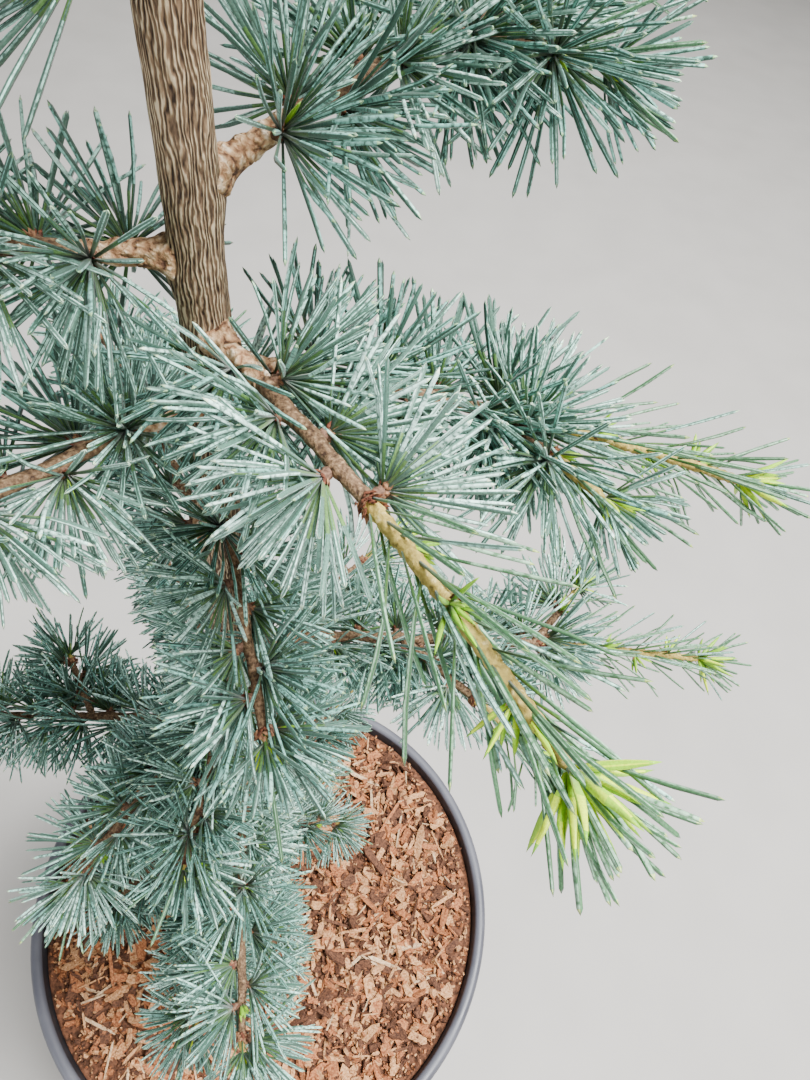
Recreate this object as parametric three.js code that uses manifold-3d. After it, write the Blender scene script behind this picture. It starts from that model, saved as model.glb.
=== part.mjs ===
// A young blue cedar of Lebanon in a round nursery pot.
// Millimetres, +Z up. The origin is the centre of the pot's flat underside. Headings turn from +X
// towards +Y. The trunk stands in the pot's middle and carries boughs, each of which ends where
// its mass of needles begins. Every mass grows from one stem by one seeded rule: side twigs,
// rosettes of needles on the old wood, and forward needles on last year's wood.

import * as THREE from 'three';
import { mergeVertices } from 'three/addons/utils/BufferGeometryUtils.js';
import Module from 'manifold-3d';

const wasm = await Module();
wasm.setup();

// Pot and growing medium
const POT_HEIGHT = 245;
const POT_RIM_RADIUS = 155;
const POT_BASE_RADIUS = 116;
const POT_WALL = 2.4;
const POT_FLOOR = 3;
const LIP_WIDTH = 5;
const LIP_HEIGHT = 9;
const FOOT_ROUNDING = 4;
const DRAIN_HOLES = 8;
const DRAIN_RADIUS = 6;
const DRAIN_RING_RADIUS = 88;
const DRAIN_SIDES = 8;
const SOIL_DEPTH_BELOW_RIM = 8;
const SOIL_EDGE_DROP = 3;
const SOIL_LEVEL_RADIUS = 93;
const POT_SEGMENTS = 48;
const LIP_ROUNDING = 2;
const LIP_SLOPE = 3;

// Gap that keeps touching pieces apart, and the distance within which corners are one
const FIT_GAP = 0.3;
const MERGE_DISTANCE = 1e-4;

// Trunk
const SOIL_LEVEL = POT_HEIGHT - SOIL_DEPTH_BELOW_RIM;
const TRUNK_FOOT_RADIUS = 8.4;
const TRUNK_TIP_RADIUS = 2;
const TRUNK_TIP_LEVEL = 1104;
const TRUNK_TAPER = 0.9;
const ROOT_FLARE = 5.5;
const ROOT_FLARE_FADE = 13;
const ROOT_LOBES = 5;
const ROOT_LOBE_DEPTH = 0.3;
const TRUNK_LEAN = 2.6;
const TRUNK_LEAN_HEADING = -90;
const TRUNK_SWAY = 2.2;
const TRUNK_SWAY_LENGTH = 420;
const CROSS_SWAY_SHARE = 0.5;
const CROSS_SWAY_PACE = 1.7;
const TRUNK_SIDES = 12;
const TRUNK_RINGS = 30;
const TRUNK_RING_CROWDING = 1.6;

// Crown and leader
const CROWN_TOP_REACH = 38;
const CROWN_WIDENING = 0.27;
const CROWN_FOOT_REACH = 85;
const CROWN_FOOT_WIDENING = 0.2;
const LEADER_LENGTH = 118;
const LEADER_NOD = 12;
const LEADER_STRAIGHT_SHARE = 0.55;
const GOLDEN_ANGLE = 137.5;

// Boughs: a branch with less reach springs from the trunk as a mass alone
const BOUGH_LEAST_REACH = 102;
const BOUGH_LENGTH = 8;
const BOUGH_LENGTH_SHARE = 0.075;
const BOUGH_SIDES = 6;
const BOUGH_STEPS = 2;
const BRANCH_RADIUS = 1;
const BRANCH_RADIUS_SHARE = 0.008;
const BRANCH_BOW = 0.12;
const BRANCH_ARCH = 0.04;
const COLLAR_SWELL = 1.25;
const BOUGH_TIP_SHARE = 0.75;

// Twigs and needles: angles in degrees, shares of a branch's reach or of a twig's wood
const TWIG_SIDES = 5;
const TWIG_TIP_RADIUS = 1.1;
const SIDE_TWIG_RADIUS = 1.3;
const SIDE_TWIG_LEAST_REACH = 126;
const SIDE_TWIG_REACH_STEP = 30;
const SIDE_TWIGS_MOST = 2;
const SIDE_TWIG_ANGLE = 44;
const SIDE_TWIG_ANGLE_SPREAD = 14;
const SIDE_TWIG_SHARE = 0.2;
const SIDE_TWIG_SHARE_SPREAD = 0.1;
const SIDE_TWIG_PLACE = 0.6;
const SIDE_TWIG_PLACE_SPREAD = 0.3;
const SIDE_TWIG_LAST_PLACE = 0.84;
const SIDE_TWIG_SHORTENING = 1.25;
const SIDE_TWIG_DROOP = 0.6;
const SIDE_TWIG_CLIMB = 0.2;
const SIDE_TWIG_ARCH = 0.05;
const YOUNG_WOOD = 24;
const YOUNG_WOOD_SHARE = 0.26;
const YOUNG_WOOD_MOST = 0.5;
const NEEDLE_LENGTH = 21;
const NEEDLE_LENGTH_SPREAD = 0.2;
const WOOD_END = 0.8 * NEEDLE_LENGTH;
const BAND_WIDTH = 2.4;
const ROSETTE_STEP = 17;
const YOUNG_STEP = 14;
const STATION_LEAD = 4.5;
const ROSETTE_BACK_LEAN = 97;
const ROSETTE_FRONT_LEAN = 52;
const YOUNG_LEAN = 36;
const TUFT_LEAN = 30;

// Room that a needle keeps to other masses, to limbs and to the pot's rim
const SPACE_MARGIN = 1.6;
const LIMB_MARGIN = 1.3;
const LOWEST_NEEDLE = POT_HEIGHT + 8;
const TRUNK_TEST_STEP = 40;
const TWIG_TEST_STEPS = 6;
const NEEDLE_TEST_POINTS = [0.35, 0.7, 1];

// Where each kind of chance starts its chain, to which a branch's or mass's number is added
const BOW_SEED = 500;
const SIDE_TWIG_SEED = 900;
const NEEDLE_SEED = 1300;

// Boughs that the photograph shows: height on the trunk, heading, reach of the needle tips from
// the trunk's axis, and climb of the tip over the root (negative where the bough droops)
const SEEN_BOUGHS = [
  { height: 790, heading: 54, reach: 126, climb: 14 },
  { height: 778, heading: 202, reach: 112, climb: 4 },
  { height: 764, heading: -44, reach: 108, climb: 0 },
  { height: 756, heading: 12, reach: 128, climb: -24 },
  { height: 747, heading: 234, reach: 106, climb: 4 },
  { height: 716, heading: -63, reach: 66, climb: -20 },
  { height: 652, heading: 16, reach: 170, climb: -26 },
  { height: 636, heading: -90, reach: 70, climb: -26 },
  { height: 622, heading: -118, reach: 86, climb: -26 },
  { height: 600, heading: -74, reach: 112, climb: -22 },
  { height: 590, heading: 186, reach: 140, climb: -30 },
  { height: 560, heading: -86, reach: 104, climb: -22 },
  { height: 548, heading: 196, reach: 64, climb: -22 },
  { height: 516, heading: -132, reach: 84, climb: -26 },
  { height: 470, heading: -94, reach: 82, climb: -24 },
  { height: 452, heading: 16, reach: 58, climb: -12 },
  { height: 430, heading: 212, reach: 92, climb: -24 },
  { height: 396, heading: -64, reach: 78, climb: -18 },
  { height: 352, heading: 262, reach: 80, climb: -20 },
];

// Boughs behind the photograph's view, which stand left and right in turn, and above it, which
// wind round the trunk. Each row rises evenly. Its boughs take in turn these shares of the
// crown's reach, and climb by this share of their own reach.
const BACK_BOUGHS = {
  count: 7, height: 340, rise: 58, headings: [128, 62], shares: [1, 0.6], slope: -0.12,
};
const UPPER_BOUGHS = {
  count: 13, height: 834, rise: 20, heading: 108, shares: [1, 0.9], slope: 0.16,
};

// Single rosettes that sit on the trunk itself
const SPURS = [
  { height: 819, heading: -92 },
  { height: 735, heading: 96 },
  { height: 664, heading: -20 },
];

const SPUR_LENGTH = 7;
const SPUR_RISE = 2;
const SPUR_RADIUS = 1.7;

const UP = new THREE.Vector3(0, 0, 1);

// Climb over which a twig counts as upright, so that its rings take another reference
const STEEP = 0.9;

function degrees(angle) {
  return angle * Math.PI / 180;
}

function headingVector(heading) {
  return new THREE.Vector3(Math.cos(degrees(heading)), Math.sin(degrees(heading)), 0);
}

// A chain of numbers from 0 to 1 that is the same on every run.
function diceFrom(seed) {
  let state = Math.imul(seed + 1, 2654435761) >>> 0;
  return () => {
    state = (Math.imul(state, 1664525) + 1013904223) >>> 0;
    return state / 4294967296;
  };
}

// Solid of a closed surface whose shared corners are merged first.
function solidOf(geometry) {
  const bare = new THREE.BufferGeometry();
  bare.setAttribute('position', geometry.getAttribute('position'));
  bare.setIndex(geometry.getIndex());
  const merged = mergeVertices(bare, MERGE_DISTANCE);
  const corners = merged.getIndex().array;
  const kept = [];
  for (let i = 0; i < corners.length; i += 3) {
    const [a, b, c] = corners.slice(i, i + 3);
    if (a !== b && b !== c && c !== a) {
      kept.push(a, b, c);
    }
  }
  return new wasm.Manifold(new wasm.Mesh({
    numProp: 3,
    vertProperties: new Float32Array(merged.getAttribute('position').array),
    triVerts: new Uint32Array(kept),
  }));
}

function geometryOf(solid) {
  const mesh = solid.getMesh();
  const geometry = new THREE.BufferGeometry();
  geometry.setAttribute('position', new THREE.BufferAttribute(mesh.vertProperties, 3));
  geometry.setIndex(new THREE.BufferAttribute(mesh.triVerts, 1));
  geometry.computeVertexNormals();
  return geometry;
}

function facets(points, triangles) {
  const geometry = new THREE.BufferGeometry();
  geometry.setAttribute('position', new THREE.Float32BufferAttribute(points.flat(), 3));
  geometry.setIndex(triangles.flat());
  return geometry;
}

// The largest piece that a cut leaves.
function largestPiece(solid) {
  const pieces = solid.decompose();
  return pieces.reduce((best, piece) => (piece.volume() > best.volume() ? piece : best));
}

// Round solid from an outline of radius and height, run upwards on its outside.
function turned(outline, segments) {
  const points = outline.map(([radius, height]) => new THREE.Vector2(radius, height));
  return solidOf(new THREE.LatheGeometry(points, segments).rotateX(Math.PI / 2));
}

// Limb with flat ends whose rings follow a path: pointAt, directionAt and radiusAt take 0 to 1.
function limb(pointAt, directionAt, radiusAt, sides, steps, reference = UP) {
  const points = [];
  const triangles = [];
  for (let i = 0; i <= steps; i++) {
    const along = i / steps;
    const centre = pointAt(along);
    const direction = directionAt(along);
    const side = new THREE.Vector3().crossVectors(direction, reference).normalize();
    const lift = new THREE.Vector3().crossVectors(side, direction);
    for (let j = 0; j < sides; j++) {
      const turn = 2 * Math.PI * j / sides;
      const radius = radiusAt(along, turn);
      const corner = centre.clone();
      corner.addScaledVector(side, radius * Math.cos(turn));
      corner.addScaledVector(lift, radius * Math.sin(turn));
      points.push(corner.toArray());
    }
  }
  for (let i = 0; i < steps; i++) {
    for (let j = 0; j < sides; j++) {
      const a = i * sides + j;
      const b = i * sides + (j + 1) % sides;
      triangles.push([a, a + sides, b], [b, a + sides, b + sides]);
    }
  }
  const last = steps * sides;
  for (let j = 1; j < sides - 1; j++) {
    triangles.push([0, j, j + 1], [last, last + j + 1, last + j]);
  }
  return solidOf(facets(points, triangles));
}

// Pot: tapering wall, flat floor with drain holes, and a lip turned out round the rim.
function makePot() {
  const wallTop = POT_RIM_RADIUS - LIP_WIDTH;
  const lipFoot = POT_HEIGHT - LIP_HEIGHT;
  const shell = turned([
    [0, 0],
    [POT_BASE_RADIUS - FOOT_ROUNDING, 0],
    [POT_BASE_RADIUS, FOOT_ROUNDING],
    [wallTop, lipFoot],
    [POT_RIM_RADIUS - LIP_ROUNDING / 2, lipFoot + LIP_ROUNDING / 2],
    [POT_RIM_RADIUS, POT_HEIGHT - LIP_ROUNDING],
    [POT_RIM_RADIUS - LIP_ROUNDING, POT_HEIGHT],
    [wallTop, POT_HEIGHT],
    [wallTop - POT_WALL, POT_HEIGHT - LIP_SLOPE],
    [POT_BASE_RADIUS - POT_WALL, POT_FLOOR],
    [0, POT_FLOOR],
  ], POT_SEGMENTS);
  let pot = shell;
  for (let i = 0; i < DRAIN_HOLES; i++) {
    const turn = 2 * Math.PI * (i + 0.5) / DRAIN_HOLES;
    const hole = new THREE.CylinderGeometry(DRAIN_RADIUS, DRAIN_RADIUS, 4 * POT_FLOOR, DRAIN_SIDES);
    hole.rotateX(Math.PI / 2);
    hole.translate(DRAIN_RING_RADIUS * Math.cos(turn), DRAIN_RING_RADIUS * Math.sin(turn), 0);
    pot = pot.subtract(solidOf(hole));
  }
  return pot;
}

function potInnerRadius(height) {
  const floorRadius = POT_BASE_RADIUS - POT_WALL;
  const topRadius = POT_RIM_RADIUS - LIP_WIDTH - POT_WALL;
  const share = (height - POT_FLOOR) / (POT_HEIGHT - LIP_SLOPE - POT_FLOOR);
  return floorRadius + (topRadius - floorRadius) * share;
}

// Growing medium: fills the pot, level round the trunk and a little lower at the wall.
function makeMedium() {
  const wallGap = 2 * FIT_GAP;
  const floorLevel = POT_FLOOR + FIT_GAP;
  const edgeLevel = SOIL_LEVEL - SOIL_EDGE_DROP;
  return turned([
    [0, floorLevel],
    [potInnerRadius(floorLevel) - wallGap, floorLevel],
    [potInnerRadius(edgeLevel) - wallGap, edgeLevel],
    [SOIL_LEVEL_RADIUS, SOIL_LEVEL],
    [0, SOIL_LEVEL],
  ], POT_SEGMENTS);
}

// Centre of the trunk at a height: an even lean from the foot, and a slow sway of a few
// millimetres.
function trunkCentre(height) {
  const above = height - SOIL_LEVEL;
  const turn = 2 * Math.PI * above / TRUNK_SWAY_LENGTH;
  const x = CROSS_SWAY_SHARE * TRUNK_SWAY * Math.sin(CROSS_SWAY_PACE * turn);
  const y = TRUNK_SWAY * Math.sin(turn);
  const lean = Math.tan(degrees(TRUNK_LEAN)) * above;
  return new THREE.Vector3(x, y, height).addScaledVector(headingVector(TRUNK_LEAN_HEADING), lean);
}

// Radius of the trunk at a height: an even taper from foot to tip.
function trunkRadius(height) {
  const share = (height - SOIL_LEVEL) / (TRUNK_TIP_LEVEL - SOIL_LEVEL);
  return TRUNK_FOOT_RADIUS + (TRUNK_TIP_RADIUS - TRUNK_FOOT_RADIUS) * Math.pow(share, TRUNK_TAPER);
}

// Extra radius of the root flare, in lobes that fade upwards.
function flareRadius(height, turn) {
  const fade = Math.exp(-(height - SOIL_LEVEL) / ROOT_FLARE_FADE);
  return ROOT_FLARE * fade * (1 + ROOT_LOBE_DEPTH * Math.cos(ROOT_LOBES * turn));
}

// Trunk, or with some growth the space that everything borne by it keeps clear of. The rings
// stand closer together in the root flare.
function makeTrunk(growth = 0) {
  const foot = SOIL_LEVEL + FIT_GAP;
  const heightAt = (along) => foot + (TRUNK_TIP_LEVEL - foot) * Math.pow(along, TRUNK_RING_CROWDING);
  return limb(
    (along) => trunkCentre(heightAt(along)),
    () => UP,
    (along, turn) => trunkRadius(heightAt(along)) + flareRadius(heightAt(along), turn) + growth,
    TRUNK_SIDES,
    TRUNK_RINGS,
    new THREE.Vector3(0, 1, 0),
  );
}

// Reach of the crown at a height: widest low down, narrowing to the leader.
function crownReach(height) {
  const upper = CROWN_TOP_REACH + CROWN_WIDENING * (TRUNK_TIP_LEVEL - height);
  const lower = CROWN_FOOT_REACH + CROWN_FOOT_WIDENING * (height - POT_HEIGHT);
  return Math.min(upper, lower);
}

// All branches, seen and unseen, in order of height. Each gets its curve, its radius, and the
// bare length from the trunk's axis to where its mass begins.
function allBranches() {
  const branches = SEEN_BOUGHS.map((bough) => ({ ...bough }));
  for (const row of [BACK_BOUGHS, UPPER_BOUGHS]) {
    for (let i = 0; i < row.count; i++) {
      const height = row.height + i * row.rise;
      const heading = row.headings ? row.headings[i % 2] : row.heading + i * GOLDEN_ANGLE;
      const reach = crownReach(height) * row.shares[i % 2];
      branches.push({ height, heading, reach, climb: row.slope * reach });
    }
  }
  branches.sort((a, b) => a.height - b.height);
  branches.forEach((branch, index) => {
    branch.seed = index;
    branch.curve = branchCurve(branch);
    branch.hasBough = branch.reach >= BOUGH_LEAST_REACH;
    branch.bare = branch.hasBough ? BOUGH_LENGTH + BOUGH_LENGTH_SHARE * branch.reach : 0;
    branch.radius = BRANCH_RADIUS + BRANCH_RADIUS_SHARE * branch.reach;
  });
  return branches;
}

// Curve of a branch from the trunk's axis to the end of its wood. It arches a little and bows to
// one side by chance.
function branchCurve(branch) {
  const dice = diceFrom(branch.seed + BOW_SEED);
  const root = trunkCentre(branch.height);
  const outward = headingVector(branch.heading);
  const sideways = headingVector(branch.heading + 90);
  const wood = branch.reach - WOOD_END;
  const tip = root.clone().addScaledVector(outward, wood).addScaledVector(UP, branch.climb);
  const middle = root.clone().add(tip).multiplyScalar(0.5);
  middle.addScaledVector(sideways, (dice() - 0.5) * BRANCH_BOW * branch.reach);
  middle.addScaledVector(UP, BRANCH_ARCH * branch.reach);
  return new THREE.QuadraticBezierCurve3(root, middle, tip);
}

// Twigs of a mass: its stem, then side twigs that leave it left and right in turn. Each has a
// curve, a start along it, its radii, and the length of last year's wood at its end.
function twigsOf(branch) {
  const dice = diceFrom(branch.seed + SIDE_TWIG_SEED);
  const wood = branch.curve.getLength();
  const start = branch.bare > 0 ? branch.bare / wood : 0;
  const stem = {
    curve: branch.curve,
    start,
    fromRadius: BOUGH_TIP_SHARE * branch.radius,
    toRadius: TWIG_TIP_RADIUS,
    young: Math.min(YOUNG_WOOD_MOST * wood, YOUNG_WOOD + YOUNG_WOOD_SHARE * branch.reach),
  };
  const twigs = [stem];
  const steps = 1 + Math.floor((branch.reach - SIDE_TWIG_LEAST_REACH) / SIDE_TWIG_REACH_STEP);
  const sideCount = THREE.MathUtils.clamp(steps, 0, SIDE_TWIGS_MOST);
  for (let i = 0; i < sideCount; i++) {
    const place = i + SIDE_TWIG_PLACE + SIDE_TWIG_PLACE_SPREAD * dice();
    const share = place / (sideCount + SIDE_TWIG_PLACE);
    const along = start + (SIDE_TWIG_LAST_PLACE - start) * share;
    const root = branch.curve.getPoint(along);
    const hand = i % 2 ? 1 : -1;
    const angle = SIDE_TWIG_ANGLE + SIDE_TWIG_ANGLE_SPREAD * dice();
    const heading = branch.heading + hand * angle;
    const part = SIDE_TWIG_SHARE + SIDE_TWIG_SHARE_SPREAD * dice();
    const length = part * branch.reach * (SIDE_TWIG_SHORTENING - share);
    const tip = root.clone().addScaledVector(headingVector(heading), length);
    tip.addScaledVector(UP, (dice() - SIDE_TWIG_DROOP) * SIDE_TWIG_CLIMB * length);
    const middle = root.clone().add(tip).multiplyScalar(0.5);
    middle.addScaledVector(UP, SIDE_TWIG_ARCH * length);
    const curve = new THREE.QuadraticBezierCurve3(root, middle, tip);
    twigs.push({
      curve,
      start: 0,
      fromRadius: SIDE_TWIG_RADIUS,
      toRadius: TWIG_TIP_RADIUS,
      young: YOUNG_WOOD_MOST * length,
    });
  }
  return twigs;
}

// Straight pieces along a curve, with the radius that other pieces keep clear of.
function segmentsOf(curve, from, to, radius, steps) {
  const segments = [];
  for (let i = 0; i < steps; i++) {
    const a = curve.getPoint(from + (to - from) * i / steps);
    const b = curve.getPoint(from + (to - from) * (i + 1) / steps);
    segments.push({ line: new THREE.Line3(a, b), radius });
  }
  return segments;
}

function distanceTo(segment, point) {
  const nearest = new THREE.Vector3();
  segment.line.closestPointToPoint(point, true, nearest);
  return nearest.distanceTo(point);
}

// Whether a point lies in a mass's own space: over the pot's rim, clear of trunk and boughs, and
// nearer to the mass's own twigs than to those of any other mass.
function inOwnSpace(point, owner, space) {
  if (point.z < LOWEST_NEEDLE) {
    return false;
  }
  for (const segment of space.limbs) {
    if (distanceTo(segment, point) < segment.radius + LIMB_MARGIN) {
      return false;
    }
  }
  const own = Math.min(...space.twigs.get(owner).map((segment) => distanceTo(segment, point)));
  for (const [other, segments] of space.twigs) {
    if (other === owner) {
      continue;
    }
    if (segments.some((segment) => distanceTo(segment, point) < own + SPACE_MARGIN)) {
      return false;
    }
  }
  return true;
}

// Bands along one twig, each with the place where it ends, its turn round the twig and, where it
// bears needles, their lean from the twig's direction: rosettes on the old wood, single rings of
// forward needles on last year's wood, and a tuft at the tip. Rings turn by half a needle's share
// from one station to the next, so that needles pass between those ahead.
function bandsOf(twig, dice) {
  const wood = twig.curve.getLength();
  const youngFrom = wood - twig.young;
  const halfShare = Math.PI / TWIG_SIDES;
  const bands = [];
  let at = twig.start * wood + STATION_LEAD;
  let turn = 2 * Math.PI * dice();
  while (at < wood - STATION_LEAD) {
    const length = NEEDLE_LENGTH * (1 + NEEDLE_LENGTH_SPREAD * (dice() - 0.5));
    bands.push({ end: at, turn, lean: 0, length: 0 });
    if (at < youngFrom) {
      bands.push({ end: at + BAND_WIDTH, turn, lean: ROSETTE_BACK_LEAN, length });
      bands.push({ end: at + 2 * BAND_WIDTH, turn, lean: ROSETTE_FRONT_LEAN, length });
      at += ROSETTE_STEP;
    } else {
      bands.push({ end: at + BAND_WIDTH, turn, lean: YOUNG_LEAN, length });
      at += YOUNG_STEP;
    }
    turn += halfShare;
  }
  bands.push({ end: wood - BAND_WIDTH, turn, lean: 0, length: 0 });
  bands.push({ end: wood, turn, lean: TUFT_LEAN, length: WOOD_END });
  return bands;
}

// Twig with needles: a slim limb of rings whose faces are drawn out to a point in each band that
// bears needles. A needle that would leave the mass's own space is skipped, so its face stays
// flat. The limb ends in one forward needle.
function needledTwig(twig, owner, space, dice) {
  const wood = twig.curve.getLength();
  const from = twig.start > 0 ? twig.start * wood + FIT_GAP : 0;
  const bands = bandsOf(twig, dice);
  const points = [];
  const triangles = [];
  const frameAt = (at, turn) => {
    const along = at / wood;
    const direction = twig.curve.getTangent(along);
    const reference = Math.abs(direction.z) > STEEP ? new THREE.Vector3(0, 1, 0) : UP;
    const side = new THREE.Vector3().crossVectors(direction, reference).normalize();
    const lift = new THREE.Vector3().crossVectors(side, direction);
    return (angle, forward, outward) => {
      const point = twig.curve.getPoint(along).addScaledVector(direction, forward);
      point.addScaledVector(side, outward * Math.cos(turn + angle));
      return point.addScaledVector(lift, outward * Math.sin(turn + angle));
    };
  };
  const addRing = (at, turn) => {
    const place = frameAt(at, turn);
    const share = (at - from) / (wood - from);
    const radius = twig.fromRadius + (twig.toRadius - twig.fromRadius) * share;
    for (let j = 0; j < TWIG_SIDES; j++) {
      points.push(place(2 * Math.PI * j / TWIG_SIDES, 0, radius).toArray());
    }
  };
  addRing(from, bands[0].turn);
  let before = from;
  let ring = 0;
  for (const band of bands) {
    addRing(band.end, band.turn);
    const place = frameAt(0.5 * (before + band.end), band.turn);
    const next = points.length - TWIG_SIDES;
    const apexes = [];
    for (let j = 0; j < TWIG_SIDES; j++) {
      const corner = (j + 1) % TWIG_SIDES;
      const loop = [ring + j, next + j, next + corner, ring + corner];
      const angle = 2 * Math.PI * (j + 0.5) / TWIG_SIDES;
      const reach = (share) => place(
        angle,
        share * band.length * Math.cos(degrees(band.lean)),
        share * band.length * Math.sin(degrees(band.lean)),
      );
      const clear = (share) => inOwnSpace(reach(share), owner, space);
      if (band.length > 0 && NEEDLE_TEST_POINTS.every(clear)) {
        apexes.push({ loop, apex: reach(1) });
      } else {
        triangles.push([loop[0], loop[1], loop[3]], [loop[3], loop[1], loop[2]]);
      }
    }
    for (const { loop, apex } of apexes) {
      const index = points.push(apex.toArray()) - 1;
      for (let j = 0; j < 4; j++) {
        triangles.push([loop[j], loop[(j + 1) % 4], index]);
      }
    }
    ring = next;
    before = band.end;
  }
  const end = points.push(frameAt(wood, 0)(0, WOOD_END, 0).toArray()) - 1;
  for (let j = 0; j < TWIG_SIDES; j++) {
    triangles.push([ring + (j + 1) % TWIG_SIDES, ring + j, end]);
  }
  for (let j = 1; j < TWIG_SIDES - 1; j++) {
    triangles.push([0, j, j + 1]);
  }
  return solidOf(facets(points, triangles));
}

// One mass: its twigs with their needles fused, and cut clear of the trunk it springs from.
function makeMass(twigs, owner, space, trunkSpace, seed) {
  const dice = diceFrom(seed + NEEDLE_SEED);
  const pieces = twigs.map((twig) => needledTwig(twig, owner, space, dice));
  const fused = pieces.reduce((whole, piece) => whole.add(piece));
  return largestPiece(fused.subtract(trunkSpace));
}

// Bough: one tapering limb from the trunk's surface to where its mass begins.
function makeBough(branch, trunkSpace) {
  const end = branch.bare / branch.curve.getLength();
  const bough = limb(
    (along) => branch.curve.getPoint(end * along),
    (along) => branch.curve.getTangent(end * along),
    (along) => branch.radius * THREE.MathUtils.lerp(COLLAR_SWELL, BOUGH_TIP_SHARE, along),
    BOUGH_SIDES,
    BOUGH_STEPS,
  );
  return largestPiece(bough.subtract(trunkSpace));
}

// Leader: the crown's top shoot, which goes on from the trunk's tip and nods a little.
function leaderTwig() {
  const foot = trunkCentre(TRUNK_TIP_LEVEL).addScaledVector(UP, FIT_GAP);
  const wood = LEADER_LENGTH - WOOD_END;
  const middle = foot.clone().addScaledVector(UP, LEADER_STRAIGHT_SHARE * wood);
  const tip = foot.clone().addScaledVector(UP, wood).add(new THREE.Vector3(LEADER_NOD, 0, 0));
  const curve = new THREE.QuadraticBezierCurve3(foot, middle, tip);
  return {
    curve,
    start: 0,
    fromRadius: TRUNK_TIP_RADIUS,
    toRadius: TWIG_TIP_RADIUS,
    young: YOUNG_WOOD_MOST * wood,
  };
}

// Spur: a short shoot on the trunk with one rosette.
function spurTwig(spur) {
  const root = trunkCentre(spur.height);
  const outward = headingVector(spur.heading);
  const length = trunkRadius(spur.height) + SPUR_LENGTH;
  const tip = root.clone().addScaledVector(outward, length).addScaledVector(UP, SPUR_RISE);
  const curve = new THREE.LineCurve3(root, tip);
  return { curve, start: 0, fromRadius: SPUR_RADIUS, toRadius: SPUR_RADIUS, young: 0 };
}

function material(color, roughness) {
  return new THREE.MeshStandardMaterial({ color, roughness, metalness: 0, flatShading: true });
}

function makeTree() {
  const looks = {
    pot: material('#2b2c31', 0.5),
    medium: material('#8f573b', 0.95),
    bark: material('#75563f', 0.9),
    needles: material('#86a5a3', 0.7),
  };
  const tree = new THREE.Group();
  const addPart = (name, solid, look) => {
    const mesh = new THREE.Mesh(geometryOf(solid), look);
    mesh.name = name;
    tree.add(mesh);
  };
  const twoDigits = (number) => String(number).padStart(2, '0');

  const branches = allBranches();
  const masses = branches.map((branch, index) => ({
    name: `foliage_${twoDigits(index + 1)}`,
    twigs: twigsOf(branch),
  }));
  masses.push({ name: 'foliage_leader', twigs: [leaderTwig()] });
  SPURS.forEach((spur, index) => {
    masses.push({ name: `spur_${index + 1}`, twigs: [spurTwig(spur)] });
  });

  // Limbs and twigs that each needle is tested against
  const space = { limbs: [], twigs: new Map() };
  for (let height = SOIL_LEVEL; height < TRUNK_TIP_LEVEL; height += TRUNK_TEST_STEP) {
    const top = Math.min(height + TRUNK_TEST_STEP, TRUNK_TIP_LEVEL);
    const line = new THREE.Line3(trunkCentre(height), trunkCentre(top));
    space.limbs.push({ line, radius: trunkRadius(height) });
  }
  for (const branch of branches) {
    if (branch.hasBough) {
      const end = branch.bare / branch.curve.getLength();
      space.limbs.push(...segmentsOf(branch.curve, 0, end, COLLAR_SWELL * branch.radius, BOUGH_STEPS));
    }
  }
  for (const mass of masses) {
    const segments = mass.twigs.map((twig) => segmentsOf(twig.curve, twig.start, 1, 0, TWIG_TEST_STEPS));
    space.twigs.set(mass.name, segments.flat());
  }

  addPart('pot', makePot(), looks.pot);
  addPart('growing_medium', makeMedium(), looks.medium);
  addPart('trunk', makeTrunk(), looks.bark);
  const trunkSpace = makeTrunk(FIT_GAP);
  branches.forEach((branch, index) => {
    if (branch.hasBough) {
      addPart(`bough_${twoDigits(index + 1)}`, makeBough(branch, trunkSpace), looks.bark);
    }
  });
  masses.forEach((mass, index) => {
    const solid = makeMass(mass.twigs, mass.name, space, trunkSpace, index);
    addPart(mass.name, solid, looks.needles);
  });
  return tree;
}

export default makeTree();
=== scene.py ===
"""A young blue cedar of Lebanon in a nursery pot, seen steeply from above into its crown.

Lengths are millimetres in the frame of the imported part, and MM turns them into Blender's metres.
The floor and the lights are placed in metres. Headings turn from +X towards +Y. The branches
follow the rule that shaped the part's solids, with the same chains of chance, and carry it on to
spurs, rosettes, single needles, buds and scales. Every surface is worked out as whole arrays. A
surface is a tuple: points, the corners of all its faces in one row, the number of corners of each
face, and the look (material slot) of each face.
"""

import itertools
import math

import bpy
import numpy as np
from mathutils import Matrix


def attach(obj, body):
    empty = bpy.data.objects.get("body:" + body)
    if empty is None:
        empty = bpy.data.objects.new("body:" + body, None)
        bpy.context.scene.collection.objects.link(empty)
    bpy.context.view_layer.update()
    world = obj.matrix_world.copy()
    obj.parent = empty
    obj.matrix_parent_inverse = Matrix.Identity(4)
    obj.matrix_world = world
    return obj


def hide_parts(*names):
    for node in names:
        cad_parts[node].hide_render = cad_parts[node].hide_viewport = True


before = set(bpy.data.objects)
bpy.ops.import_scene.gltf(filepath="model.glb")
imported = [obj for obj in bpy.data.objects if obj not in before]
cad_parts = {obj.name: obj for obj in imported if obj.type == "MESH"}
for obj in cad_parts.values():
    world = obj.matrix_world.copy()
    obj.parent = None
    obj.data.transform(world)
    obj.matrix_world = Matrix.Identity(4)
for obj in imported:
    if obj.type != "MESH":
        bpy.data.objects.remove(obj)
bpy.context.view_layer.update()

MM = 0.001
GOLDEN_ANGLE = 137.5
UP = np.array([0.0, 0.0, 1.0])
STEEP = 0.9

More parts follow.
